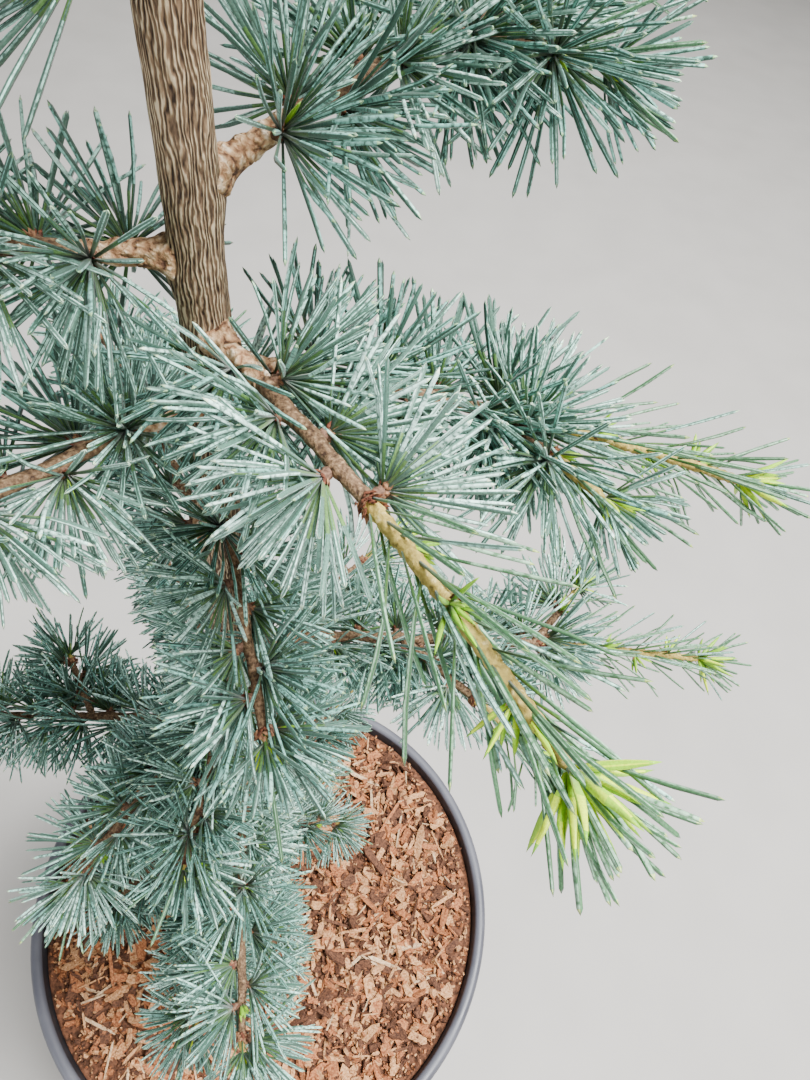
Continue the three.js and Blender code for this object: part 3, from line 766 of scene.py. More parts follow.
def strands_of(tree):
    """Strands that run along the trunk, split and meet: 1 on their crests and 0 between them. It
    is half of 1 + sin(count * turn + push), and the push is noise drawn out along the trunk."""
    outward = add_node(tree, "Attribute", output="Vector", attribute_name="outward")
    parts = add_node(tree, "SeparateXYZ", {"Vector": outward})
    y_and_x = {0: parts.outputs["Y"], 1: parts.outputs["X"]}
    turn = add_node(tree, "Math", y_and_x, "Value", operation="ARCTAN2")
    noise = speckle(tree, STRAND_NOISE_SIZE, 3.0, STRAND_NOISE_STRETCH)
    scaled = {0: noise, 1: 4 * math.pi * STRAND_WAVER}
    push = add_node(tree, "Math", scaled, "Value", operation="MULTIPLY")
    pushed = {0: turn, 1: TRUNK_STRANDS, 2: push}
    phase = add_node(tree, "Math", pushed, "Value", operation="MULTIPLY_ADD")
    wave = add_node(tree, "Math", {0: phase}, "Value", operation="SINE")
    return add_node(tree, "Math", {0: wave, 1: 0.5, 2: 0.5}, "Value", operation="MULTIPLY_ADD")


def plates_of(tree):
    """1 in the middle of each plate, falling to 0 in the creases between plates of about the
    plate size, whose outlines are ragged because noise moves the places that they read. In the
    collar's tone the creases take the dark end, partly as painted shade."""
    place = add_node(tree, "TexCoord", output="Object")
    scale = 1 / (PLATE_SIZE * MM)
    ragged = add_node(tree, "TexNoise", {"Vector": place, "Scale": scale, "Detail": 3.0}, "Color")
    pushed = {0: ragged, 1: (PLATE_RAGGEDNESS * PLATE_SIZE * MM,) * 3, 2: place}
    moved = add_node(tree, "VectorMath", pushed, "Vector", operation="MULTIPLY_ADD")
    middle = add_node(tree, "TexVoronoi", {"Vector": moved, "Scale": scale}, "Distance")
    ends = {"Value": middle, "From Min": 0.8, "From Max": 0.2}
    return add_node(tree, "MapRange", ends, "Result")


def needle_look(name, code, change, bare=None):
    """Conifer needle cuticle: a satin skin with fine pores, which gives the eye a slightly
    chalky colour that varies within half a millimetre. A bare colour shows where the bloom of
    wax over it is rubbed off, in patches about a millimetre long."""

    def build(tree):
        pores = speckle(tree, PORE_SIZE)
        pits = add_node(tree, "Bump", {"Height": pores, "Distance": 0.05 * MM}, "Normal")
        tone = pores
        stops = [(0.38, shaded(code, 1 - change)), (0.6, shaded(code, 1 + 0.4 * change))]
        if bare:
            tone = speckle(tree, BLOOM_SIZE, 2.0)
            stops = [(0.37, bare), (0.46, shaded(code, 1 - change)), (0.62, shaded(code, 1.04))]
        skin = {
            "Base Color": add_node(tree, "ValToRGB", {"Fac": tone}, "Color", stops),
            "Roughness": 0.45,
            "IOR": 1.45,
            "Sheen Weight": 0.15,
            "Sheen Roughness": 0.5,
            "Normal": pits,
        }
        return add_node(tree, "BsdfPrincipled", skin, "BSDF")

    return finished(name, build)


def bark_look(name, stops, grain, roughness, depth, stretch=1, pattern=None):
    """Young cedar bark: dry, with dark furrows and paler crests. Its tone follows noise, the
    mesh's relief and its own pattern of strands or plates. Following the relief, the dark of
    the furrows is partly the bark's own colour and partly painted shade, and the pale of the
    crests partly painted highlight. It gives the eye a braided or a flaking skin."""

    def build(tree):
        grains = speckle(tree, grain, 4.0, (1, 1, stretch))
        ends = {"Value": grains, "From Min": 0.3, "From Max": 0.7}
        fine = add_node(tree, "MapRange", ends, "Result")
        relief = add_node(tree, "Attribute", output="Fac", attribute_name="relief")
        tone = mixed(tree, relief, fine, RELIEF_TONE)
        if pattern:
            tone = mixed(tree, pattern(tree), tone, PATTERN_TONE)
        skin = {
            "Base Color": add_node(tree, "ValToRGB", {"Fac": tone}, "Color", stops),
            "Roughness": roughness,
            "IOR": 1.4,
            "Normal": add_node(tree, "Bump", {"Height": tone, "Distance": depth * MM}, "Normal"),
        }
        return add_node(tree, "BsdfPrincipled", skin, "BSDF")

    return finished(name, build)


def wood_look(name, low, high, grain, roughness=0.85, depth=0.5):
    """Dry broken bark, wood or scale: two tones in grains, which give the eye a fibrous dull
    face."""

    def build(tree):
        fibres = speckle(tree, grain, 5.0)
        stops = [(0.35, low), (0.65, high)]
        skin = {
            "Base Color": add_node(tree, "ValToRGB", {"Fac": fibres}, "Color", stops),
            "Roughness": roughness,
            "IOR": 1.4,
            "Normal": add_node(tree, "Bump", {"Height": fibres, "Distance": depth * MM}, "Normal"),
        }
        return add_node(tree, "BsdfPrincipled", skin, "BSDF")

    return finished(name, build)


def polypropylene_look(name, low, high):
    """Injection-moulded polypropylene with carbon black: satin, faintly grained, with a film of
    dust that lifts the black to a cool grey and dulls the gloss in cloudy patches. With paler
    colours, as on the lip, that grey is partly painted sheen."""

    def build(tree):
        dust = speckle(tree, DUST_SIZE, 6.0)
        grain = speckle(tree, MOULDED_GRAIN, 2.0)
        stops = [(0.35, low), (0.75, high)]
        ends = {"Value": dust, "From Min": 0.3, "From Max": 0.7, "To Min": 0.34, "To Max": 0.58}
        skin = {
            "Base Color": add_node(tree, "ValToRGB", {"Fac": dust}, "Color", stops),
            "Roughness": add_node(tree, "MapRange", ends, "Result"),
            "IOR": 1.49,
            "Normal": add_node(tree, "Bump", {"Height": grain, "Distance": 0.03 * MM}, "Normal"),
        }
        return add_node(tree, "BsdfPrincipled", skin, "BSDF")

    return finished(name, build)


def floor_look():
    """Matt painted board: pale, with tone that drifts very slightly over a hand's breadth."""

    def build(tree):
        stops = [(0.3, "#b5b2ad"), (0.7, "#bbb8b3")]
        drift = speckle(tree, BOARD_DRIFT, 2.0)
        colour = add_node(tree, "ValToRGB", {"Fac": drift}, "Color", stops)
        skin = {"Base Color": colour, "Roughness": 0.8}
        return add_node(tree, "BsdfPrincipled", skin, "BSDF")

    return finished("painted_board", build)


# Needles: the looks of each palette's parts, dealt out by spray
NEEDLE_COLOURS = {
    "silver": ("#5f8645", "#567a6b", "#ccf4e6", "#264633", "#d6eecc"),
    "frost": ("#4e7639", "#46695a", "#acdece", "#1f3d2a", "#bcdab0"),
    "blue": ("#3c602e", "#36584a", "#82bcae", "#183122", "#94ba88"),
    "sage": ("#466e28", "#44704a", "#90b698", "#2b5033", "#b0c276"),
    "moss": ("#3c6221", "#335c38", "#729a7a", "#204226", "#98ae5e"),
    "bud": ("#6ea010", "#76ac10", "#9fce18", "#5c8c0e", "#80aa1c"),
    "lime": ("#c6e60a", "#9cd206", "#d8f20c", "#82c008", "#74b418"),
}
NEEDLE_PARTS = ("foot", "flank", "wax", "groove", "tip")
FOOT, FLANK, WAX, GROOVE, TIP = range(len(NEEDLE_PARTS))

# The section's corners, the stripes between them of a ribbed and of a grooved needle, and the
# part that takes each part's place near the foot and at the tip
NEEDLE_CORNERS = np.radians([0, 33, 81, 99, 147, 180, 248])
STRIPES = np.array(
    [
        (WAX, FLANK, WAX, FLANK, WAX, WAX, FLANK),
        (FLANK, WAX, GROOVE, WAX, FLANK, FLANK, WAX),
    ]
)
AT_FOOT = np.array([FOOT, FOOT, FLANK, FOOT, FLANK])
AT_TIP = np.array([FOOT, FLANK, TIP, FLANK, TIP])
NEEDLE_RINGS = np.array([0.0, 0.32, 0.7, 0.955])
NEEDLE_SWELL = np.array([0.54, 0.82, 1.04, 0.86])
LEAF_RINGS = np.array([0.0, 0.3, 0.6, 0.85])
LEAF_SWELL = np.array([0.6, 1.0, 0.86, 0.46])

# How much the colours of a waxy needle and of a new leaf vary
WAXY_CHANGE = 0.15
FRESH_CHANGE = 0.06


def all_needle_looks():
    """One look for each part of each palette. New leaves have no wax and an even green."""
    looks = []
    for palette, codes in NEEDLE_COLOURS.items():
        for part, code in zip(NEEDLE_PARTS, codes):
            fresh = palette in BRIGHT
            bare = codes[FLANK] if part == "wax" and not fresh else None
            change = FRESH_CHANGE if fresh else WAXY_CHANGE
            looks.append(needle_look(f"needle_{palette}_{part}", code, change, bare))
    return looks


def needle_faces():
    """Faces of one needle (three bands of seven, seven to the tip and one at the foot) and the
    part that each of them shows in either pattern of stripes."""
    sides = len(NEEDLE_CORNERS)
    quads, _ = ringed_faces(len(NEEDLE_RINGS), sides)
    tip = len(NEEDLE_RINGS) * sides
    last = tip - sides
    faces = [*quads, *[np.array([last + k, last + (k + 1) % sides, tip]) for k in range(sides)]]
    faces.append(np.arange(sides)[::-1])
    end = np.full((len(STRIPES), 1), FOOT)
    looks = [AT_FOOT[STRIPES], STRIPES, STRIPES, AT_TIP[STRIPES], end]
    return faces, np.concatenate(looks, axis=1)


NEEDLE_FACES, NEEDLE_LOOKS = needle_faces()


def needle_surface(needles, rings, swells):
    """Seven-sided needles: a point is foot + direction * length * t + face * bend * length * t^2,
    and the section there is side * cos * width / 2 + normal * sin * thickness / 2, times the
    swell at t. The narrow stripe looks towards face. The second ring moves with the bend, so
    that the length of the green foot differs."""
    foot, direction, face = needles["foot"], needles["direction"], needles["face"]
    length, bend, width = needles["length"], needles["bend"], needles["width"]
    face = unit(face - direction * np.sum(face * direction, -1, keepdims=True))
    side = np.cross(face, direction)
    moved = GREEN_FOOT_SPREAD * np.outer(bend, [0, 1, 0, 0])
    t = rings[None, :, None] + moved[..., None]
    line = foot[:, None] + direction[:, None] * length[:, None, None] * t
    line = line + face[:, None] * (bend * length)[:, None, None] * t**2
    normal = face[:, None] - 2 * bend[:, None, None] * t * direction[:, None]
    swell = width[:, None, None, None] * swells[None, :, None, None] / 2
    flat = NEEDLE_THICKNESS / NEEDLE_WIDTH
    wide = side[:, None, None] * np.cos(NEEDLE_CORNERS)[None, None, :, None]
    thick = normal[:, :, None] * flat * np.sin(NEEDLE_CORNERS)[None, None, :, None]
    ringed = line[:, :, None] + (wide + thick) * swell
    tip = foot + (direction + face * bend[:, None]) * length[:, None]
    points = np.concatenate([ringed.reshape(len(foot), -1, 3), tip[:, None]], axis=1)
    looks = NEEDLE_LOOKS[needles["pattern"]] + len(NEEDLE_PARTS) * needles["palette"][:, None]
    return repeated(points, NEEDLE_FACES, looks)


def drawn_palettes(names, shares, chance, size):
    """Numbers of palettes, drawn by chance with those shares."""
    palettes = list(NEEDLE_COLOURS)
    return chance.choice([palettes.index(name) for name in names], size=size, p=shares)


def drawn_width(chance, size):
    """The needle's width, spread by chance."""
    return NEEDLE_WIDTH * (1 + NEEDLE_WIDTH_SPREAD * chance.normal(size=size))


def drawn_pattern(chance, size):
    """1 for a grooved needle and 0 for a ribbed one."""
    return (chance.random(size) < GROOVED_SHARE).astype(int)


def spread_needles(places, spray, chance, length, palettes):
    """Needles in a spiral round an axis: needle i of each spray turns by i golden angles and
    leans from the first lean towards the second by its share^0.7. Inner ones are shorter. The
    second lean and the length can have one value for each spray. A little of outward keeps face
    off a needle's direction where it stands along the axis."""
    foot, axis = places
    count, lean = spray
    sprays = len(foot)
    i = np.arange(count)[None]
    turn = np.radians(GOLDEN_ANGLE * i + 360 * chance.random((sprays, 1)))
    turn = turn + NEEDLE_TURN_SPREAD * chance.normal(size=(sprays, count))
    share = ((i + 0.5) / count) ** SPRAY_POWER
    tilt = lean[0] + (lean[1] - lean[0]) * share
    tilt = np.radians(tilt + NEEDLE_LEAN_SPREAD * chance.normal(size=turn.shape))[..., None]
    outward = outward_at(axis[:, None], turn)
    direction = axis[:, None] * np.cos(tilt) + outward * np.sin(tilt)
    reach = length * (INNER_NEEDLE_SHARE + (1 - INNER_NEEDLE_SHARE) * share)
    reach = reach * (1 + NEEDLE_LENGTH_SPREAD * chance.normal(size=turn.shape))
    start = foot[:, None] + outward * SPRAY_FOOT_RADIUS * np.sin(tilt)
    by_spray = drawn_palettes(*palettes, chance, (sprays, 1))
    single = drawn_palettes(*palettes, chance, turn.shape)
    palette = np.where(chance.random(turn.shape) < STRAY_COLOUR_SHARE, single, by_spray)
    bend = NEEDLE_BEND + NEEDLE_BEND_SPREAD * chance.normal(size=turn.shape)
    face = axis[:, None] + NEEDLE_FACE_OUTWARD * outward
    face = face + NEEDLE_FACE_SPREAD * chance.normal(size=direction.shape)
    least, most = NEEDLE_LENGTH_RANGE
    return {
        "foot": start.reshape(-1, 3),
        "direction": direction.reshape(-1, 3),
        "face": face.reshape(-1, 3),
        "length": np.clip(reach, least * length, most * length).ravel(),
        "bend": bend.ravel(),
        "width": drawn_width(chance, turn.shape).ravel(),
        "palette": palette.ravel(),
        "pattern": drawn_pattern(chance, turn.size),
    }


def gathered(groups):
    """Several groups of needles as one."""
    return {key: np.concatenate([group[key] for group in groups]) for key in groups[0]}


def chosen(needles, kept):
    """The needles that are kept."""
    return {key: value[kept] for key, value in needles.items()}


def radius_along(twig, share):
    """In a straight line from the radius at the twig's start to the one at its tip."""
    part = (share - twig["start"]) / (1 - twig["start"])
    return twig["from_radius"] + (twig["to_radius"] - twig["from_radius"]) * part


def first_place(name, twig, chance):
    """How far along its wood a twig's first spur stands: off its foot by chance, clear of the
    trunk's bark, and at the very end of a single rosette's twig."""
    foot = twig["curve"][0]
    off_axis = np.hypot(*(foot - trunk_centre(foot[2]))[:2])
    on_trunk = off_axis < 1 and foot[2] < TRUNK_TIP_LEVEL
    clear = float(trunk_radius(foot[2])) + BARK_GAP if on_trunk else FORK_GAP
    if name.startswith("spur"):
        clear = twig["wood"] - SPUR_TWIG_END
    first = chance.uniform(*FIRST_ROSETTE_SHARES) * twig["start"] * twig["wood"]
    first = first + BOUGH_END_GAP
    return max(first, clear) if twig["start"] == 0 else first


def rosette_places(name, twig, chance):
    """Spurs on a twig's old wood: root, axis and head. They stand out to its left and right in
    turn, a few of them near its top, and lean forward."""
    wood = twig["wood"]
    first = first_place(name, twig, chance)
    last = wood - twig["young"]
    count = max(int((last - first) / ROSETTE_STEP) + 1, 1)
    at = first + (last - first) * np.arange(count) / max(count - 1, 1)
    at = at + ROSETTE_STEP_SPREAD * chance.normal(size=count) * (count > 2)
    share = np.clip(at / wood, 0, 1)
    direction = curve_directions(twig["curve"], share)
    turn = np.where(np.arange(count) % 2, 1, -1) * chance.uniform(*ROSETTE_TURN, count)
    drawn = chance.random(count)
    on_top = (drawn > TOP_ROSETTES[0]) & (drawn < TOP_ROSETTES[1])
    turn = np.where(on_top, TOP_ROSETTE_TURN * turn, turn)
    lean = ROSETTE_LEAN + ROSETTE_LEAN_SPREAD * chance.normal(size=(count, 1))
    axis = unit(outward_at(direction, np.radians(90 - turn)) + direction * lean)
    radius = radius_along(twig, share)[:, None]
    length = chance.uniform(*SPUR_SHOOT_LENGTHS, (count, 1))
    root = curve_points(twig["curve"], share)
    return {"root": root, "axis": axis, "head": root + axis * (radius + length)}


def young_wood_needles(twig, chance):
    """Single needles that wind round last year's wood by golden angles, lean forward and get
    shorter towards its tip."""
    count = int(twig["young"] / YOUNG_NEEDLE_STEP)
    i = np.arange(count)
    share = 1 - twig["young"] / twig["wood"] * (1 - (i + 0.5) / count)
    direction = curve_directions(twig["curve"], share)
    turn = GOLDEN_ANGLE * i + YOUNG_NEEDLE_TURN_SPREAD * chance.normal(size=count)
    outward = outward_at(direction, np.radians(90 - turn))
    tilt = YOUNG_NEEDLE_LEAN + YOUNG_NEEDLE_LEAN_SPREAD * chance.normal(size=count)
    tilt = np.radians(tilt)[:, None]
    seat = outward * YOUNG_NEEDLE_SEAT * radius_along(twig, share)[:, None]
    length = YOUNG_NEEDLE_LENGTH * (1 - YOUNG_NEEDLE_SHORTENING * np.linspace(0, 1, count) ** 2)
    face = outward + YOUNG_NEEDLE_FACE_SPREAD * chance.normal(size=outward.shape)
    length = length * (1 + YOUNG_NEEDLE_LENGTH_SPREAD * chance.normal(size=count))
    return {
        "foot": curve_points(twig["curve"], share) + seat,
        "direction": direction * np.cos(tilt) + outward * np.sin(tilt),
        "face": face,
        "length": length,
        "bend": YOUNG_NEEDLE_BEND + YOUNG_NEEDLE_BEND_SPREAD * chance.normal(size=count),
        "width": drawn_width(chance, count),
        "palette": drawn_palettes(*YOUNG, chance, count),
        "pattern": drawn_pattern(chance, count),
    }


def grown(pair, openness):
    """The value of a closed bud, plus what full flush adds times how far it has opened."""
    return pair[0] + pair[1] * openness


def bud_places(twig, chance):
    """Feet and axes of the buds along last year's wood, counted from its tip."""
    count = max(int(twig["young"] / BUD_STEP), 1)
    i = np.arange(count)
    at = 1 - BUD_STEP * (i + chance.uniform(*BUD_PLACES, count)) / twig["wood"]
    direction = curve_directions(twig["curve"], at)
    turn = GOLDEN_ANGLE * i + 360 * chance.random()
    axis = unit(outward_at(direction, np.radians(90 - turn)) + BUD_FORWARD * direction)
    return curve_points(twig["curve"], at) + axis * BUD_SEAT, axis


def bud_leaves(places, flush, chance):
    """New leaves of the buds, which are the more open the nearer they are to the tip."""
    i = np.arange(len(places[0]))
    openness = flush * np.clip(1 - BUD_DELAY * i, BUD_LEAST_OPENNESS, 1)[:, None]
    spray = (BUD_LEAVES, (BUD_FIRST_LEAN, grown(BUD_LEAN, openness)))
    shares = (grown(BUD_GREEN_SHARE, flush), grown(BUD_LIME_SHARE, flush))
    length = grown(BUD_LEAF_LENGTH, openness)
    leaves = spread_needles(places, spray, chance, length, (BRIGHT, shares))
    leaves["width"] = BUD_LEAF_WIDTH * leaves["width"]
    return leaves


def tuft_leaves(places, flush, chance):
    """The bright tuft at a tip whose new growth is out."""
    leans = (TUFT_FIRST_LEAN, grown(TUFT_LEAN, flush))
    spray = (int(grown(TUFT_LEAVES, flush)), leans)
    length = grown(TUFT_LENGTH_SHARE, flush) * TIP_LENGTH
    leaves = spread_needles(places, spray, chance, length, (BRIGHT, TUFT_SHARES))
    leaves["width"] = TUFT_LEAF_WIDTH * leaves["width"]
    return leaves


def needles_of(name, twig, chance):
    """All needles of one twig, its new growth, and the places of its spurs and buds."""
    spurs = rosette_places(name, twig, chance)
    heads = (spurs["head"], spurs["axis"])
    needles = [spread_needles(heads, ROSETTE_NEEDLES, chance, ROSETTE_LENGTH, WAXY)]
    hearts = spread_needles(heads, HEART_LEAVES, chance, HEART_LENGTH, HEART)
    if twig["young"] == 0:
        return needles, [hearts], spurs

    needles.append(young_wood_needles(twig, chance))
    buds = bud_places(twig, chance)
    spurs["bud_foot"], spurs["bud_axis"] = buds
    new_growth = [bud_leaves(buds, twig["flush"], chance), hearts]
    tip = (curve_points(twig["curve"], [1.0]), curve_directions(twig["curve"], [1.0]))
    is_long = twig["young"] > SHORT_SHOOT
    spray, palettes = (LONG_SHOOT_TIP, GREEN) if is_long else (SHORT_SHOOT_TIP, WAXY)
    needles.append(spread_needles(tip, spray, chance, TIP_LENGTH, palettes))
    if twig["flush"] > 0:
        new_growth.append(tuft_leaves(tip, twig["flush"], chance))
    return needles, new_growth, spurs


def clear_of_limbs(needles, limbs):
    """Which needles keep clear of the trunk and the bare boughs, tested at three places."""
    clear = np.ones(len(needles["length"]), bool)
    for share in LIMB_TESTS:
        reach = (share * needles["length"])[:, None]
        bend = needles["bend"][:, None] * share
        place = needles["foot"] + (needles["direction"] + needles["face"] * bend) * reach
        height = np.clip(place[:, 2], SOIL_LEVEL, TRUNK_TIP_LEVEL)
        off = np.hypot(*(place[:, :2] - trunk_centre(height)[:, :2]).T)
        beside = (place[:, 2] < TRUNK_TIP_LEVEL) & (off < trunk_radius(height) + TRUNK_MARGIN)
        clear &= ~beside
        for start, end, radius in limbs:
            along = np.clip((place - start) @ (end - start) / np.sum((end - start) ** 2), 0, 1)
            gap = np.linalg.norm(place - start - along[:, None] * (end - start), axis=1)
            clear &= gap > radius + BOUGH_MARGIN
    return clear


# Wood


def bark_relief(points, furrows, seed):
    """Furrowed bark from 0 to 1: furrows lie where drawn-out noise passes through zero, finer
    noise breaks the ridges, and coarse noise makes some stretches smoother. furrows holds their
    distance across and their length."""
    across_size, along_size = furrows
    drawn = np.array([across_size, across_size, along_size])
    furrow = np.exp(-((blotches(points, drawn, seed) / FURROW_WIDTH) ** 2))
    fine = np.exp(-((blotches(points, drawn * FINE_SIZE, seed + 1) / FINE_WIDTH) ** 2))
    ridge = 0.5 + 0.5 * blotches(points, drawn * RIDGE_SIZE, seed + 2)
    calm = 1 - CALM_SHARE + CALM_SHARE * blotches(points, drawn * CALM_SIZE, seed + 3)
    depth = calm * (FURROW_SHARE * furrow + FINE_SHARE * fine) + RIDGE_SHARE * (1 - ridge)
    return np.clip(1 - depth, 0, 1)


def trunk_surface(branches):
    """Rings round the trunk's centre: radius plus root flare in five lobes, plus a swelling
    under each branch, plus the furrowed relief."""
    height = np.linspace(SOIL_LEVEL - TRUNK_SUNK, TRUNK_TIP_LEVEL, TRUNK_RINGS)[:, None]
    turn = np.linspace(0, 2 * np.pi, TRUNK_SIDES, endpoint=False)[None]
    outward = np.stack([np.cos(turn), np.sin(turn), 0 * turn], -1)
    above = np.maximum(height - SOIL_LEVEL, 0)
    flare = ROOT_FLARE * np.exp(-above / ROOT_FLARE_FADE)
    flare = flare * (1 - ROOT_LOBE_DEPTH * np.cos(ROOT_LOBES * turn))
    radius = trunk_radius(height) + flare
    for branch in branches:
        off = (height - branch["height"] + SWELLING_DROP) / (SWELLING_REACH * branch["radius"])
        facing = np.cos(turn - math.radians(branch["heading"]))
        swelling = SWELLING_HEIGHT * branch["radius"] * np.exp(-(off**2))
        radius = radius + swelling * np.exp(SWELLING_FOCUS * (facing - 1))
    smooth_place = trunk_centre(height) + outward * radius[..., None]
    relief = bark_relief(smooth_place, TRUNK_FURROWS, TRUNK_BARK_SEED)
    depth = TRUNK_RELIEF * radius / TRUNK_FOOT_RADIUS + TRUNK_LEAST_RELIEF
    wander = TRUNK_WANDER * blotches(smooth_place, TRUNK_WANDER_SIZE, TRUNK_WANDER_SEED)
    radius = radius + wander + depth * (relief - TRUNK_RIDGE_LEVEL)
    surface = tube(trunk_centre(height) + outward * radius[..., None])
    outward = np.broadcast_to(outward, (TRUNK_RINGS, TRUNK_SIDES, 3)).reshape(-1, 3)
    return surface, {"relief": relief.ravel(), "outward": outward}


def bough_surface(branch):
    """Rings along the bare part of a branch: its taper, a collar that fades with the distance
    from the trunk, and flaky rings of relief."""
    wood = curve_length(branch["curve"])
    rings = int(branch["bare"] / BOUGH_RING_STEP)
    share = np.linspace(0, (branch["bare"] + BOUGH_OVERLAP) / wood, rings)
    direction = curve_directions(branch["curve"], share)
    turn = np.linspace(0, 2 * np.pi, BOUGH_SIDES, endpoint=False)
    outward = outward_at(direction[:, None], turn)
    along = np.linspace(0, 1, rings)[:, None]
    radius = branch["radius"] * (COLLAR_SWELL + (BOUGH_TIP_SHARE - COLLAR_SWELL) * along)
    from_bark = np.maximum(share[:, None] * wood - trunk_radius(branch["height"]), 0)
    radius = radius + COLLAR_RISE * np.exp(-from_bark / COLLAR_FADE)
    centre = curve_points(branch["curve"], share)[:, None]
    place = centre + outward * radius[..., None]
    relief = bark_relief(place, BOUGH_FURROWS, BOUGH_BARK_SEED + branch["number"])
    knobs = blotches(place, BOUGH_KNOB_SIZE, BOUGH_KNOB_SEED + branch["number"])
    radius = radius + BOUGH_RELIEF * (relief - BOUGH_RIDGE_LEVEL) + BOUGH_KNOB * knobs
    tone = (1 - BOUGH_KNOB_TONE) * relief + BOUGH_KNOB_TONE * (0.5 + 0.5 * knobs)
    return tube(centre + outward * radius[..., None]), np.clip(tone, 0, 1).ravel()


def twig_surface(twig, heads):
    """Rings along a twig: its taper, knuckles where spurs stand, leaf cushions that wind round
    last year's wood, and fine relief."""
    wood = twig["wood"]
    rings = max(int(wood * (1 - twig["start"]) / TWIG_RING_STEP), TWIG_LEAST_RINGS)
    share = np.linspace(twig["start"], 1, rings)
    at = share[:, None] * wood
    turn = np.linspace(0, 2 * np.pi, TWIG_SIDES, endpoint=False)
    outward = outward_at(curve_directions(twig["curve"], share)[:, None], turn)
    centre = curve_points(twig["curve"], share)[:, None]
    radius = radius_along(twig, share)[:, None]
    place = centre + outward * radius[..., None]
    is_young = (1 - share) * wood < twig["young"]
    is_old = ~is_young[:, None]
    nearest = np.min(np.linalg.norm(place[:, :, None] - heads[None, None], axis=-1), axis=-1)
    knuckle = KNUCKLE * np.exp(-((nearest / KNUCKLE_SIZE) ** 2)) * is_old
    cushions = CUSHION * np.sin(CUSHION_ROWS * turn + at * CUSHION_TWIST) * ~is_old
    relief = bark_relief(place, TWIG_FURROWS, TWIG_BARK_SEED)
    radius = radius + knuckle + cushions + TWIG_RELIEF * (relief - TWIG_RIDGE_LEVEL) * is_old
    to_tip = (1 - share) * wood
    end = np.sqrt(np.clip(to_tip / TWIG_ROUND_END + TWIG_END_SHARE, 0, 1))
    radius = radius * end[:, None]
    return tube(centre + outward * radius[..., None], is_young.astype(int)), relief.ravel()


def spur_surface(spurs):
    """Short shoots: six rings of seven corners from the twig's middle to the rosette's head,
    with knobbly rings left by each year's scales."""
    root, axis, head = spurs["root"], spurs["axis"], spurs["head"]
    sides, rings = SPUR_SHOOT_SIDES, len(SPUR_SHOOT_RINGS)
    outward = outward_at(axis[:, None], np.linspace(0, 2 * np.pi, sides, endpoint=False))
    swell = SPUR_SHOOT_SWELL * SPUR_SHOOT_RADIUS
    line = root[:, None] + (head - root)[:, None] * SPUR_SHOOT_RINGS[None, :, None]
    points = line[:, :, None] + outward[:, None] * swell[None, :, None, None]
    quads, _ = ringed_faces(rings, sides)
    last = np.arange(sides) + (rings - 1) * sides
    faces = [*quads, np.arange(sides)[::-1], last]
    return repeated(points.reshape(len(root), -1, 3), faces, np.zeros(len(faces), int))


def scale_surface(foot, axis, chance, count, radius, length):
    """Bud scales: small pointed flakes in a spiral round an axis, each a flat eight-sided body
    with a foot, two shoulders and a tip, and a ridge above and below."""
    size = (len(foot), count, 1)
    turn = GOLDEN_ANGLE * np.arange(count)[None] + 360 * chance.random((len(foot), 1))
    outward = outward_at(axis[:, None], np.radians(turn))
    ahead = np.broadcast_to(axis[:, None], outward.shape)
    sideways = np.cross(ahead, outward)
    lean = unit(ahead + outward * chance.uniform(*SCALE_SPREADS, size))
    thin = np.cross(sideways, lean) * SCALE_HALF_THICKNESS
    long = length * chance.uniform(*SCALE_LENGTHS, size)
    start = foot[:, None] + outward * radius + ahead * chance.uniform(*SCALE_SETBACKS, size)
    shoulder = start + lean * SCALE_SHOULDER * long
    half = sideways * SCALE_HALF_WIDTH * long
    tip = start + lean * long + outward * SCALE_TIP_RISE * long
    corners = [start, shoulder - half, tip, shoulder + half, shoulder + thin, shoulder - thin]
    points = np.stack(corners, axis=2).reshape(-1, len(corners), 3)
    faces = [[0, 4, 1], [1, 4, 2], [2, 4, 3], [3, 4, 0], [1, 5, 0], [2, 5, 1], [3, 5, 2], [0, 5, 3]]
    looks = chance.integers(0, 2, size=(len(points), 1))
    return repeated(points, [np.array(face) for face in faces], looks)


def scales_of(twig, spurs, chance):
    """Scales under every rosette, round every bud, and in a collar of two rows where last year's
    shoot starts."""
    made = [scale_surface(spurs["head"], spurs["axis"], chance, *SPUR_SCALES)]
    if twig["young"]:
        made.append(scale_surface(spurs["bud_foot"], spurs["bud_axis"], chance, *BUD_SCALES))
        joint = 1 - twig["young"] / twig["wood"]
        collar = curve_points(twig["curve"], [joint, joint + COLLAR_ROW_STEP])
        ahead = curve_directions(twig["curve"], [joint, joint])
        made.append(scale_surface(collar, ahead, chance, *COLLAR_SCALES))
    return made


# Pot and growing medium


def pot_inner_radius(height):
    """Straight from the foot of the inside to its top."""
    floor_radius = POT_BASE_RADIUS - POT_WALL
    top_radius = POT_RIM_RADIUS - LIP_WIDTH - POT_WALL
    share = (height - POT_FLOOR) / (POT_HEIGHT - LIP_DROP - POT_FLOOR)
    return floor_radius + (top_radius - floor_radius) * share


def soil_height(radius):
    """Level round the trunk, then falling evenly to the pot's wall."""
    edge = pot_inner_radius(SOIL_LEVEL - SOIL_EDGE_DROP)
    fall = np.clip((radius - SOIL_LEVEL_RADIUS) / (edge - SOIL_LEVEL_RADIUS), 0, 1)
    return SOIL_LEVEL - SOIL_EDGE_DROP * fall


